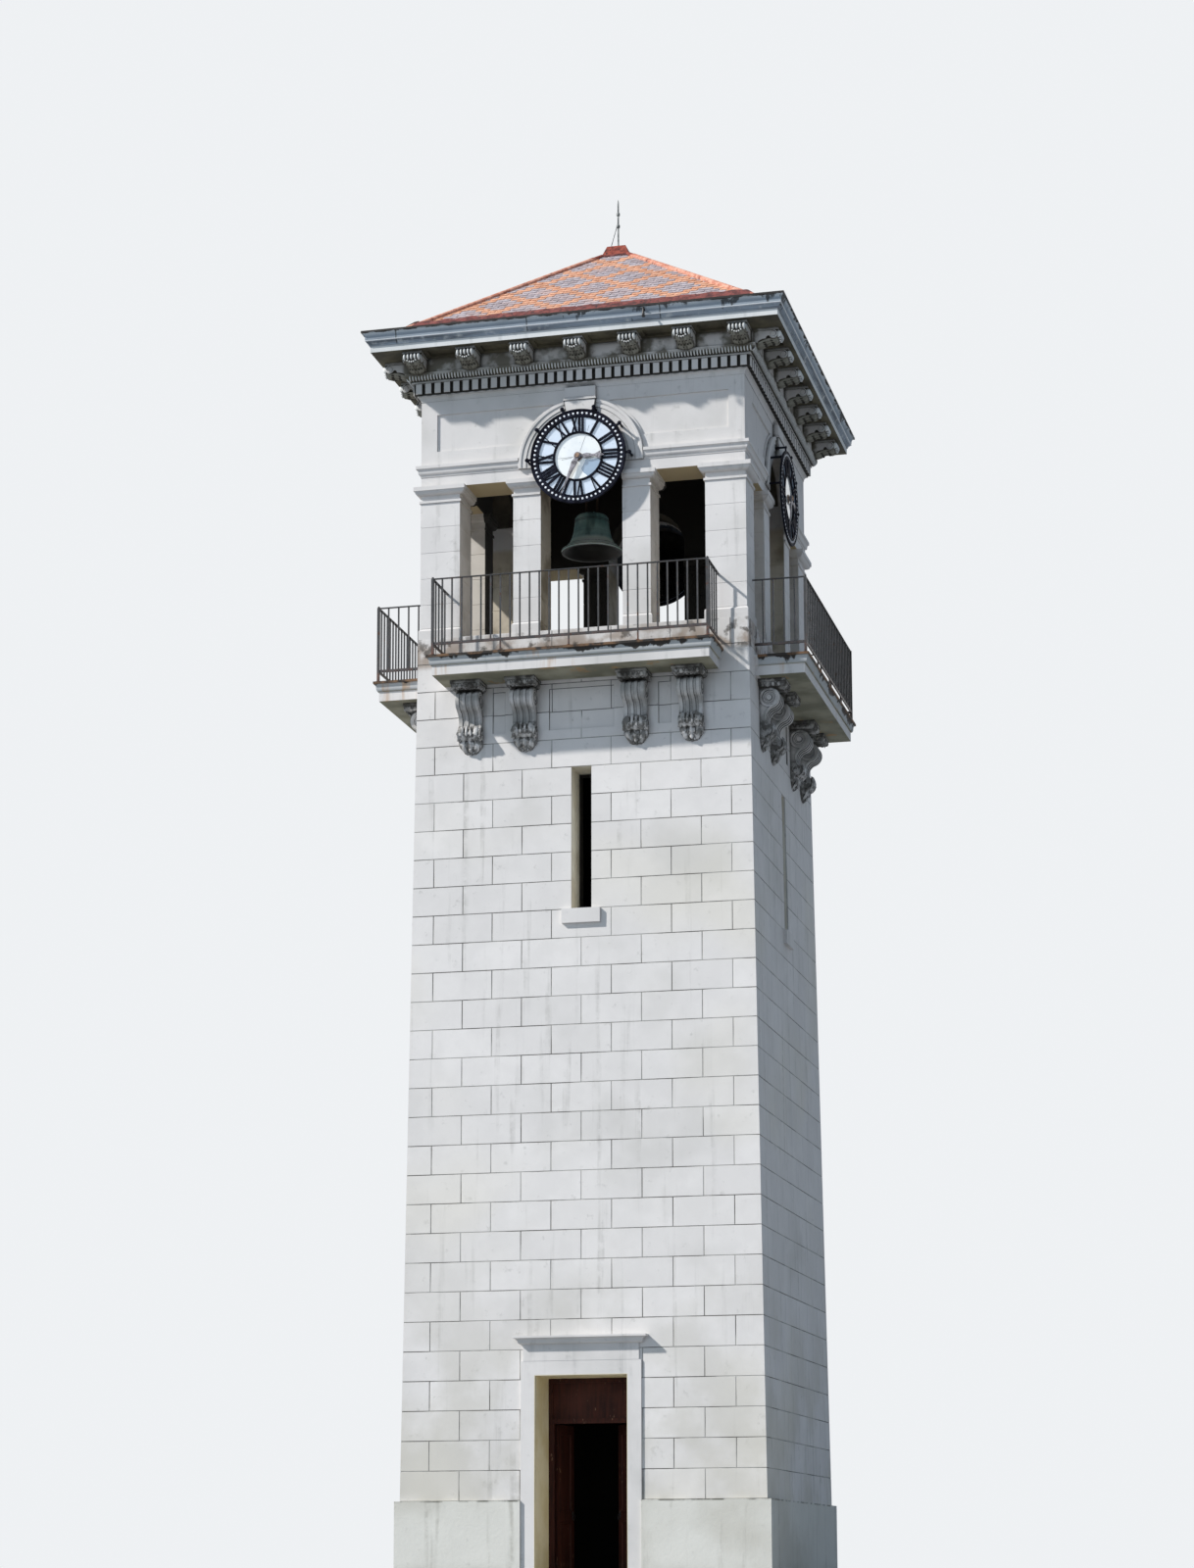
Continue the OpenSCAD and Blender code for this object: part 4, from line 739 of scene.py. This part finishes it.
def ashlar():
    """Stones of the four faces, and at the back of the sunken panels"""
    for name, holes, faces in (("front_stones", [SLIT, DOOR] + PANELS, (0,)),
                               ("side_stones", [SLIT] + PANELS, (90, 180, 270))):
        for a in faces:
            g = Geo()
            for i in range(29):
                course(g, i, PLINTH_TOP + COURSE * i, PLINTH_TOP + COURSE * (i + 1), wall_at, holes)
            course(g, 29, SHAFT_TOP, 13.275, lambda z: TOP_HALF, [])
            back = wall_at(PANEL_Z[0]) - 0.025
            for u0, u1, z0, z1 in PANELS:
                for z2, z3, i in ((z0, 12.1, 26), (12.1, z1, 27)):
                    us = [u0] + [u for u in JOINTS[i % 2] if u0 + 0.02 < u < u1 - 0.02] + [u1]
                    for u2, u3 in zip(us, us[1:]):
                        block(g, u2, u3, z2, z3, lambda z: back)
            piece("%s_%d" % (name, a), four(g, faces=(a,)), "ashlar", mat="stone")


def band_round(g, x0, x1, z0, z1):
    """A course of a pier: a skin round its four sides, between two joints"""
    def ring(out, z):
        y0, y1 = -HALF - out, -CHAMBER + out
        return [(x0 - out, y0, z), (x1 + out, y0, z), (x1 + out, y1, z), (x0 - out, y1, z)]
    lo, hi = z0 + 0.004, z1 - 0.004
    g.grid([ring(-0.001, lo), ring(PROUD, lo + CHAM), ring(PROUD, hi - CHAM), ring(-0.001, hi)],
           rng.uniform(0.3, 0.7), ring=True)


def piers():
    """Courses on the inner and corner piers of the belfry"""
    joints = [13.425, 13.77, 14.15, 14.525, 14.9, 15.255]
    g = Geo()
    for z0, z1 in zip(joints, joints[1:]):
        for x0, x1 in ((-0.98, -0.59), (0.59, 0.98), (-HALF, -CHAMBER)):
            band_round(g, x0, x1, z0, z1)
    piece("pier_stones", four(g, 0.15), "ashlar", mat="ashlar_piers")


def turns(n):
    """n angles round a circle"""
    return [2 * pi * j / n for j in range(n)]


def dome(g, centre, right, up, out, rx, ry, h, n, rows, tint=0.5):
    """Rounded boss: an ellipse of half sizes rx, ry that rises by h"""
    c, r, u, o = Vector(centre), Vector(right), Vector(up), Vector(out)
    lines = []
    for k in range(rows):
        a = pi / 2 * k / rows
        f, hh = cos(a), sin(a) * h
        lines.append([c + r * (rx * f * cos(t)) + u * (ry * f * sin(t)) + o * hh for t in turns(n)])
    g.grid(lines, tint, ring=True)
    g.tip(c + o * h, n, tint)


def tube(g, path, r, n, tint=0.5, up=(0, 0, 1), taper=None):
    """Round rod along points, its section kept square to up"""
    pts = [Vector(p) for p in path]
    lines = []
    for i, p in enumerate(pts):
        d = (pts[min(i + 1, len(pts) - 1)] - pts[max(i - 1, 0)]).normalized()
        a = d.cross(Vector(up)).normalized()
        b = a.cross(d)
        rr = r * (taper(i / (len(pts) - 1)) if taper else 1.0)
        lines.append([p + a * (rr * cos(t)) + b * (rr * sin(t)) for t in turns(n)])
    g.grid(lines, tint, ring=True, caps=True)


def scroll(centre, r, a0, a1, n, shrink=0.0):
    """n points about a centre, from angle a0 to a1 in degrees; shrink winds them in"""
    out = []
    for k in range(n):
        t = k / (n - 1)
        a, f = radians(a0 + (a1 - a0) * t), r * (1 - shrink * t)
        out.append((centre[0] + f * cos(a), centre[1] + f * sin(a)))
    return out


def dial_point(r, deg, out=0.0):
    """Point on the front dial, clockwise from twelve"""
    a = radians(deg)
    return Vector((r * sin(a), -(DIAL_FRONT + out), DIAL_Z + r * cos(a)))


def dials():
    """Minute dots, raised edges of the rings, bosses on the lugs, leads in the glass"""
    g = Geo()
    for k in range(60):
        a = radians(6 * k)
        dome(g, dial_point(0.624, 6 * k, -0.001), (cos(a), 0, -sin(a)),
             (sin(a), 0, cos(a)), (0, -1, 0), 0.0165, 0.0185, 0.004, 10, 2, rng.random())
    piece("minute_dots", four(g), "dial_glass", smooth=True, mat="milk")
    g = Geo()
    # radius, half width, height
    for r, b, h in ((0.673, 0.01, 0.008), (0.576, 0.007, 0.006), (0.3545, 0.005, 0.005),
                    (0.3365, 0.0045, 0.005)):
        g.grid([[dial_point(r - b * cos(q), 5 * j, h * sin(q) - 0.0005) for j in range(72)]
                for q in (pi * t / 4 for t in range(5))], ring=True)
    for s in (-1, 1):
        for a in (18, 54, 90):
            p = dial_point(0.735, s * a, -0.001)
            dome(g, p, *FRONT, 0.02, 0.02, 0.014, 6, 2)
            dome(g, p, *FRONT, 0.03, 0.03, 0.005, 12, 2)
    piece("dial_mouldings", four(g), "dial_iron", smooth=True)
    g = Geo()
    # angle, inner and outer end
    for a, r0, r1 in ((20, 0.075, 0.305), (20, 0.385, 0.47), (268, 0.07, 0.3), (262, 0.09, 0.24)):
        tube(g, [dial_point(r0 + (r1 - r0) * k / 4, a + 0.4 * sin(k * 2.1), -0.0195) for k in range(5)],
             0.0022, 5, up=(0, 1, 0))
    piece("dial_glass_leads", g, "dial_iron", mat="lead")


def egg_row(g, u0, u1, n, w, z, tilt, rx, ry, h, dart=True):
    """n eggs, and darts between them, from u0 to u1; w is how far out they stand"""
    step = (u1 - u0) / n
    out = Vector((0, -cos(tilt), -sin(tilt)))
    up = Vector((0, -sin(tilt), cos(tilt)))
    for k in range(n):
        u = u0 + (k + 0.5) * step
        dome(g, (u, -w, z), (1, 0, 0), up, out, rx, ry, h, 8, 3, rng.uniform(0.3, 0.7))
        if dart and k < n - 1:
            p = Vector((u + step / 2, -w, z))
            b = 0.16 * step
            g.add([p + up * ry, p - up * ry, p + Vector((b, 0, 0)) + up * ry * 0.9,
                   p - Vector((b, 0, 0)) + up * ry * 0.9, p + up * (0.2 * ry) + out * h * 0.8],
                  [(0, 3, 4), (3, 1, 4), (1, 2, 4), (2, 0, 4)], 0.4)


def cornice_carving():
    """The egg course, and leaf, lobes, scrolls and dark domes that paint the shade of drilled holes on each
    modillion
    """
    g = Geo()
    egg_row(g, -2.478, 2.478, 112, 2.487, 17.07, radians(28), 0.0145, 0.048, 0.03, False)
    tube(g, [(-2.437, -2.437, 17.026), (2.437, -2.437, 17.026)], 0.009, 6)
    piece("egg_and_dart", four(g), "carving", smooth=True, mat="carving_pale")
    leaf = Geo()
    path = [(0.0, -0.004), (0.05, -0.008), (0.1, 0.004), (0.145, 0.026), (0.185, 0.04), (0.225, 0.04),
            (0.27, 0.028), (0.3, 0.034), (0.322, 0.048), (0.333, 0.066)]

    def leaf_at(x, t):
        """Point of a leaf: x across it, -1 to 1, and t along it, 0 to 1"""
        i = min(int(t * 9), 8)
        f = t * 9 - i
        du, dv = (path[i][j] * (1 - f) + path[i + 1][j] * f for j in (0, 1))
        hw = 0.112 * (0.8 + 0.2 * abs(sin(t * pi * 2.5))) * (1.0 if t < 0.8 else 1.0 - 1.2 * (t - 0.8))
        lift = 0.01 * (1 - abs(x)) + 0.022 * abs(cos(x * pi * 2.5)) - 0.012 * x * x
        lift *= 1.0 - 2.4 * max(0.0, t - 0.75)
        return x * hw, -(HALF + 0.16 + du + lift * (0.4 + 0.9 * t)), 17.14 + dv - lift * 1.1
    leaf.grid([[leaf_at(-1 + k / 6, i / 9) for k in range(13)] for i in range(10)], 0.35)
    holes = Geo()
    for t, xs in ((0.7, (0.2, 0.62)), (0.58, (0.0, 0.42, 0.84)), (0.44, (0.22, 0.64)),
                  (0.3, (0.0, 0.44, 0.82)), (0.16, (0.24, 0.6))):
        for x in xs:
            for sx in ((-1, 1) if x else (1,)):
                dome(holes, leaf_at(sx * x, t), (1, 0.25 * sx, 0), (0, 1, 0.1), (0, -0.2, -1),
                     0.0115, 0.025, 0.006, 8, 2)
    lobes = Geo()
    for k in range(-2, 3):
        dome(lobes, (k * 0.0505, -(HALF + 0.498), 17.256), *FRONT, 0.0235, 0.056, 0.05, 10, 4, 0.95)
    for k in range(-2, 3):
        dome(lobes, (k * 0.03, -(HALF + 0.5), 17.186 + 0.006 * k * k), (1, 0, 0), (0, 0.4, 1),
             (0, -1, -0.4), 0.0155, 0.021, 0.038, 8, 3, 0.9)
    curl = scroll((17.246, HALF + 0.44), 0.056, 0, 540, 22, 0.75)
    for s in (-1, 1):
        tube(lobes, [(s * 0.131, -out, z) for z, out in curl], 0.007, 5, 0.8, up=(1, 0, 0))
    course_leaf, course_lobes, course_hole_shades = Geo(), Geo(), Geo()
    step = 2 * HALF / 6
    for k in range(7):
        m = Matrix.Translation(((-HALF + k * step), 0, 0))
        course_leaf.copy(leaf, m, 0.15)
        course_lobes.copy(lobes, m, 0.05)
        course_hole_shades.copy(holes, m)
    piece("modillion_leaves", four(course_leaf), "carving", smooth=True, mat="carving_dark")
    piece("modillion_lobes", four(course_lobes), "carving", smooth=True, mat="carving_pale")
    piece("modillion_hole_shades", four(course_hole_shades), "carving", smooth=True, mat="hollow")


def console_side(g, s):
    """Raised spiral and band on one side of a console, u out and v up"""
    up, lo, hollow = Vector((0.15, 0.73)), Vector((0.092, 0.2798)), Vector((0.2437, 0.4555))
    to_hollow = [degrees(atan2(c.y - hollow.y, c.x - hollow.x)) for c in (up, lo)]

    def rod(curves, r, taper=None):
        path = [(s * (0.156 + dx), -u, v) for dx, curve in curves for u, v in curve]
        tube(g, path, r, 6, 0.6, up=(1, 0, 0), taper=taper)
    rod([(0.004, scroll(up, 0.108, -70, 560, 44, 0.7))], 0.01, lambda t: 1.0 - 0.4 * t)
    rod([(0.002, scroll(up, 0.134, 60, -40, 9)),
         (0.002, scroll(hollow, 0.156, to_hollow[0], to_hollow[1] + 360, 13)[1:-1]),
         (0.004, scroll(lo, 0.076, 45, -105, 9))], 0.011)
    rod([(0.01, scroll(lo, 0.05, 100, 496, 24, 0.6))], 0.009)


def console_leaf(g, hole_shades):
    """Acanthus on a console's foot: lobes that curl over, a pendent leaf below them, and dark domes between
    them that paint the shade of drilled holes"""
    path = [(0.012, 0.012), (0.055, 0.06), (0.088, 0.105), (0.098, 0.15), (0.094, 0.19), (0.13, 0.205),
            (0.168, 0.235), (0.186, 0.275), (0.18, 0.318), (0.15, 0.352), (0.122, 0.368)]
    width = [0.075, 0.115, 0.14, 0.158, 0.166, 0.168, 0.168, 0.167, 0.164, 0.15, 0.11]
    rows = []
    for i, ((u, v), hw) in enumerate(zip(path, width)):
        t = i / (len(path) - 1)
        a, b = path[max(i - 1, 0)], path[min(i + 1, len(path) - 1)]
        d = Vector((b[0] - a[0], b[1] - a[1])).normalized()
        nx, ny = d.y, -d.x
        row = []
        for k in range(33):
            x = -1 + k / 16
            lobe = abs(cos(x * pi * (2.0 if t > 0.45 else 1.5)))
            vein = 0.3 * abs(sin(x * pi * 6))
            lift = 0.002 + 0.026 * lobe * sin(pi * min(1.0, t + 0.12)) + 0.005 * vein
            scal = 1.0 + 0.06 * sin(t * pi * 9)
            row.append((x * hw * scal, -(u + nx * lift), v + ny * lift))
        rows.append(row)
    g.grid(rows, 0.55)
    # x, v, u, half width, half height, rise
    lobes = ((0.106, 0.305, 0.176, 0.046, 0.074, 0.034), (0.03, 0.3, 0.186, 0.022, 0.084, 0.026),
             (0.14, 0.212, 0.118, 0.03, 0.044, 0.03), (0.086, 0.19, 0.1, 0.028, 0.05, 0.034),
             (0.0, 0.186, 0.1, 0.026, 0.06, 0.036), (0.044, 0.146, 0.094, 0.022, 0.052, 0.026),
             (0.112, 0.134, 0.09, 0.02, 0.04, 0.02), (0.07, 0.094, 0.074, 0.024, 0.04, 0.022),
             (0.0, 0.078, 0.07, 0.032, 0.056, 0.03), (0.034, 0.04, 0.042, 0.02, 0.03, 0.018),
             (0.0, 0.02, 0.024, 0.024, 0.026, 0.02))
    for x, v, u, rx, rz, h in lobes:
        for sx in ((-1, 1) if x else (1,)):
            lean = sx * 1.6 * x
            dome(g, (sx * x, -u, v), (1, 0, lean), (-lean, 0, 1), (0, -1, -0.2), rx, rz, h, 12, 5,
                 rng.uniform(0.45, 0.7))
    for x, v, u, rx, rz in ((0.066, 0.3, 0.194, 0.006, 0.07), (0.0, 0.3, 0.192, 0.005, 0.074),
                            (0.022, 0.122, 0.092, 0.006, 0.03), (0.066, 0.15, 0.098, 0.007, 0.026),
                            (0.114, 0.176, 0.108, 0.007, 0.024), (0.03, 0.084, 0.078, 0.005, 0.022)):
        for sx in ((-1, 1) if x else (1,)):
            lean = sx * 2 * x
            dome(hole_shades, (sx * x, -u, v), (1, 0, lean), (-lean, 0, 1), (0, -1, -0.3), rx, rz, 0.006, 8, 2)


def consoles():
    """Carving on the consoles: scrolls and leaf on the body, eggs round the cap"""
    g = Geo()
    for s in (-1, 1):
        console_side(g, s)
    hole_shades = Geo()
    console_leaf(g, hole_shades)
    cap = Geo()
    egg_row(cap, -0.19, 0.19, 5, 0.372, 0.905, radians(25), 0.03, 0.034, 0.024)
    for s in (-1, 1):
        side = Geo()
        egg_row(side, -0.335, -0.02, 4, 0.197, 0.905, radians(25), 0.03, 0.034, 0.024)
        cap.copy(side, Matrix.Rotation(radians(s * 90), 4, "Z") @
                 (Matrix.Identity(4) if s > 0 else Matrix.Scale(-1, 4, (1, 0, 0))))
    for k in range(7):
        x = (k - 3) * 0.052
        dome(cap, (x, -0.335, 0.885), (1, 0, 0), (0, 0, 1), (0, -0.6, -0.8), 0.02, 0.03, 0.016, 6, 2)
    whole, holes = Geo(), Geo()
    for c in (-1.565, -0.787, 0.787, 1.565):
        m = Matrix.Translation((c, -2.3609, 11.549))
        whole.copy(g, m, 0.1)
        whole.copy(cap, m, 0.1)
        holes.copy(hole_shades, m)
    piece("console_hole_shades", four(holes), "carving", smooth=True, mat="hollow")
    piece("console_carving", four(whole), "carving", smooth=True)


def roof_tiles():
    """Flat tiles in rows, with a lattice of orange ones"""
    eave, top = (2.718, 17.63), (0.205, 19.58)
    length = hypot(eave[0] - top[0], top[1] - eave[1])
    dw, dz = (top[0] - eave[0]) / length, (top[1] - eave[1]) / length
    gauge, half_w = 0.1042, 0.10835
    g = Geo()

    def at(u, s, lift):
        lim = eave[0] + dw * s + 0.01
        u = max(-lim, min(lim, u))
        return (u, -(eave[0] + dw * s + dz * lift), eave[1] + dz * s - dw * lift)
    for r in range(1, 31):
        s0 = r * gauge
        s1 = min(s0 + gauge * 1.25, length - 0.002)
        lim = eave[0] + dw * s0
        k0 = int(lim / half_w) + 2
        for k in range(-k0, k0 + 1):
            if (k + r) % 2:
                continue
            u = k * half_w
            if abs(u) - half_w > lim:
                continue
            q = r - 18          # rows from a crossing of the lattice
            orange = (k - q) % 8 == 0 or (k + q) % 8 == 0
            t = (0.8 if orange else 0.2) + rng.uniform(-0.12, 0.12)
            a = half_w - 0.0025
            b = a - 0.026
            j = rng.uniform(-0.003, 0.003)
            lo, hi = 0.013 + rng.uniform(0, 0.003), 0.004
            cut = s0 + 0.026
            pts = [(-a, s1, hi), (a, s1, hi), (a, cut, lo), (b, s0 + j, lo), (-b, s0 + j, lo), (-a, cut, lo)]
            v = [at(u + p, s, l) for p, s, l in pts] + [at(u + p, s, 0.001) for p, s, l in pts]
            g.add(v, [(5, 4, 3, 2, 1, 0), (2, 3, 9, 8), (3, 4, 10, 9), (4, 5, 11, 10), (1, 2, 8, 7),
                      (5, 0, 6, 11)], t)
    piece("roof_tiles", four(g), "tile")


def hip_tiles():
    """Half-round ridge tiles, overlapping up each hip"""
    g = Geo()
    n = 13
    a, b = Vector((2.7, -2.7, 17.655)), Vector((0.225, -0.225, 19.572))
    d = (b - a).normalized()
    side = Vector((1, 1, 0)).normalized()
    up = side.cross(d)
    step = (b - a).length / n
    for k in range(n):
        p0, p1 = a + d * (k * step), a + d * ((k + 1.12) * step)
        rows = []
        for p, r in ((p0, 0.058), (p0, 0.052), (p1, 0.049)):
            rows.append([p + side * (r * cos(t)) + up * (r * 0.8 * sin(t) - 0.004)
                         for t in (pi * j / 9 for j in range(10))])
        rows[0] = [q - (q - p0) * 0.25 for q in rows[0]]
        g.grid(rows, rng.random())
    piece("hip_tiles", four(g), "edging")


def bell_rings():
    """Mouldings round the bell and the bolts on its crown"""
    g = Geo()
    c = Vector((-0.31, -0.45, 14.965))
    h = 0.56
    for f, r, b in ((0.055, 0.436, 0.01), (0.165, 0.366, 0.007), (0.2, 0.348, 0.006), (0.8, 0.248, 0.006),
                    (0.84, 0.247, 0.006), (0.5, 0.272, 0.005)):
        rows = []
        for q in turns(6):
            wide = r + b * cos(q)
            rows.append([c + Vector((wide * cos(p), wide * sin(p), f * h + b * sin(q))) for p in turns(48)])
        rows.append(rows[0])
        g.grid(rows, ring=True)
    for a in turns(6):
        p = c + Vector((0.11 * cos(a), 0.11 * sin(a), h + 0.001))
        tube(g, [p, p + Vector((0.0, 0.0, 0.03))], 0.015, 8, up=(1, 0, 0))
    piece("bell_mouldings", g, "bell", smooth=True)


def on_hand(p, off, face, turn):
    """Point of a hand, u and v from the hub, pointing up before the turn"""
    a = radians(turn)
    u, v = p[0] * cos(a) + p[1] * sin(a), -p[0] * sin(a) + p[1] * cos(a)
    q = Vector((u, -(HALF + off), DIAL_Z + v))
    return Matrix.Rotation(radians(face), 3, "Z") @ q


def plate(g, outline, z0, z1, face, turn, tint, inset):
    """Flat plate with a chamfered front edge, fanned from its middle"""
    n = len(outline)
    cu, cv = (sum(p[i] for p in outline) / n for i in (0, 1))
    inner = []
    for u, v in outline:
        f = max(0.0, 1 - inset / hypot(u - cu, v - cv))
        inner.append((cu + (u - cu) * f, cv + (v - cv) * f))
    rows = ((outline, z0), (outline, z1 - 0.0015), (inner, z1))
    g.grid([[on_hand(p, z, face, turn) for p in row] for row, z in rows], tint, ring=True)
    g.tip(on_hand((cu, cv), z1, face, turn), n, tint)


# The hands' raised faces: where the hand's front lies off the wall, its turn, its length,
# and for each face a tint, an inset and the right half of the outline, up in lengths
HANDS = (
    ("hour", 0.216, 92, 0.375, (
        (0.7, 0.004, [(0.004, 0.18), (0.024, 0.27), (0.027, 0.34), (0.021, 0.43), (0.004, 0.56)]),
        (0.8, 0.003, [(0.008, 0.66), (0.032, 0.76), (0.046, 0.845), (0.022, 0.84), (0.003, 0.96)]))),
    ("minute", 0.234, 204, 0.595, (
        (0.6, 0.003, [(0.01, 0.09), (0.03, 0.185), (0.027, 0.27), (0.018, 0.38), (0.011, 0.52),
                      (0.003, 0.9)]),)),
)


def hands():
    for face, side in SIDES:
        for kind, off, turn, length, plates in HANDS:
            g = Geo()
            for tint, inset, half in plates:
                outline = [(-u, v * length) for u, v in half] + [(u, v * length) for u, v in half[::-1]]
                plate(g, outline, off - 0.001, off + 0.003, face, turn, tint, inset)
            if kind == "minute":
                hub = ((0.036, 0.0), (0.037, 0.004), (0.043, 0.004), (0.045, 0.0))
                g.grid([[on_hand((r * cos(t), r * sin(t)), off + h - 0.0005, face, 0) for t in turns(32)]
                        for r, h in hub], ring=True)
            piece("%s_hand_relief_%s" % (kind, side), g, "hands", "%s_%s" % (side, kind))


def leaf_matrix(s):
    """Takes a closed right leaf to where it stands open; s = -1 is the left"""
    pin = Vector((0.615, -1.68, 0))
    ang = -54 if s > 0 else -80
    m = Matrix.Translation(pin) @ Matrix.Rotation(radians(ang), 4, "Z") @ Matrix.Translation(-pin)
    return m if s > 0 else Matrix.Scale(-1, 4, (1, 0, 0)) @ m


def door_details():
    """Beads round the panels, studs on the straps, a ring and a lock plate"""
    x0, x1 = 0.006 + 0.095, 0.564 - 0.095
    foot, height = 0.206, 2.13
    lock = foot + 0.42 * height
    spans = ((0.386, lock - 0.06), (lock + 0.06, foot + height - 0.11))
    for s, side in ((1, "right"), (-1, "left")):
        m = leaf_matrix(s)
        g = Geo()
        for y, d in ((-1.742, -1), (-1.7, 1)):
            for z0, z1 in spans:
                rows = []
                for inset, dep in ((0.0, 0.0), (0.008, 0.0055), (0.02, 0.005), (0.026, -0.0125)):
                    a, b, lo, hi, yy = x0 + inset, x1 - inset, z0 + inset, z1 - inset, y + d * dep
                    rows.append([(a, yy, lo), (b, yy, lo), (b, yy, hi), (a, yy, hi)])
                g.grid(rows, rng.uniform(0.3, 0.7), ring=True)
        out = Geo()
        out.copy(g, m)
        piece("door_beads_" + side, out, "timber", side + "_leaf")
        g = Geo()
        for z in (0.46, 1.265, 2.03):
            for x in (0.29, 0.37, 0.45, 0.53):
                dome(g, (x, -1.694, z + 0.03), (1, 0, 0), (0, 0, 1), (0, 1, 0), 0.011, 0.011, 0.006, 8, 3)
        c = Vector((0.055, -1.757, 1.1))
        g.grid([[c + Vector((sin(t), 0, cos(t))) * (0.038 + 0.006 * cos(q)) + Vector((0, -0.006 * sin(q), 0))
                 for q in turns(6)] for t in turns(16) + [2 * pi]], ring=True)
        dome(g, (0.055, -1.742, 1.14), *FRONT, 0.03, 0.045, 0.008, 12, 3)
        dome(g, (0.055, -1.745, 1.14), *FRONT, 0.009, 0.009, 0.018, 8, 3)
        out = Geo()
        out.copy(g, m)
        piece("door_ironwork_" + side, out, "iron", side + "_leaf", smooth=True)


def cornice_outlet():
    """Small iron spout that hangs from the front cornice's edge, wider at its foot"""
    g = Geo()
    x = 1.06
    path = [(x, -2.965, 17.545), (x, -3.02, 17.578), (x, -3.05, 17.562), (x + 0.002, -3.054, 17.52),
            (x + 0.004, -3.056, 17.48), (x + 0.006, -3.056, 17.435)]
    tube(g, path, 0.013, 8, up=(1, 0, 0), taper=lambda t: 1.0 + 1.6 * max(0.0, t - 0.5))
    dome(g, (x + 0.006, -3.056, 17.436), (1, 0, 0), (0, 1, 0), (0, 0, -1), 0.028, 0.028, 0.016, 10, 3)
    piece("cornice_outlet", g, "iron", smooth=True)


def cornice_fillet():
    """Thin raised fillet low on the cornice's crown"""
    section = ((2.963, 17.489), (2.9725, 17.4905), (2.9768, 17.4965), (2.9765, 17.5015), (2.97, 17.504))
    g = Geo()
    g.grid([[(sx * r, sy * r, z) for sx, sy in CORNERS] for r, z in section], 0.6, ring=True)
    piece("cornice_fillet", g, "cornice", mat="fillet")


def eaves_kerb():
    """Rough, rounded kerb of red clay along the foot of the roof, and the cap's collar"""
    g = Geo()
    n = 96
    section = ((0.0, 0.0), (0.004, 0.03), (0.08, 0.04), (0.18, 0.05), (0.255, 0.066), (0.3, 0.074),
               (0.345, 0.066), (0.372, 0.038), (0.382, 0.0))
    rows = []
    for i in range(n + 1):
        x = -1 + 2 * i / n
        fat = 1.0 + 0.16 * x + 0.1 * sin(i * 0.9) + rng.uniform(-0.08, 0.08)
        rows.append([(x * (2.716 - d), -(2.716 - d), 17.632 + d * 0.776 + h * fat) for d, h in section])
    g.grid(rows)
    piece("eaves_kerb", four(g), "edging", smooth=True, mat="eaves")
    g = Geo()
    rows = []
    for r, z in ((0.214, 19.566), (0.236, 19.56), (0.243, 19.584), (0.232, 19.604), (0.196, 19.612)):
        row = []
        for k in range(32):
            side, t = divmod(k, 8)
            q = Vector((-1 + t / 4, -1, 0)) * (r + rng.uniform(-0.004, 0.004)) + Vector((0, 0, z))
            row.append(Matrix.Rotation(radians(90 * side), 3, "Z") @ q)
        rows.append(row)
    g.grid(rows, ring=True)
    piece("cap_collar", g, "edging", mat="eaves")


def railing_feet():
    """Flanges and screws under the posts, collars at their tops"""
    g = Geo()
    end, foot = 1.933, 12.816
    y = -(TOP_HALF + 0.716)
    for x in (-end, -end / 2, 0.0, end / 2, end):
        r = 0.03 if abs(x) > 1.5 else 0.022
        c = Vector((x, y, foot + 0.0005))
        g.grid([[c + Vector((sx * a, sy * a, h)) for sx, sy in CORNERS] for a, h in
                ((r + 0.016, 0.0), (r + 0.016, 0.006), (r + 0.004, 0.01), (r * 0.7, 0.022))], ring=True)
    for x in (-end, end):
        dome(g, (x, y, foot + 1.092), (1, 0, 0), (0, 1, 0), (0, 0, 1), 0.022, 0.022, 0.026, 12, 5)
    for k in range(1, 28):
        x = -end + k * 2 * end / 28
        dome(g, (x, y - 0.0075, foot + 0.164), *FRONT, 0.007, 0.007, 0.004, 6, 2)
    piece("railing_feet", four(g), "iron", smooth=True)


for make in (ashlar, piers, dials, cornice_carving, consoles, roof_tiles, hip_tiles, bell_rings, hands,
             door_details, railing_feet, cornice_outlet, cornice_fillet, eaves_kerb):
    make()
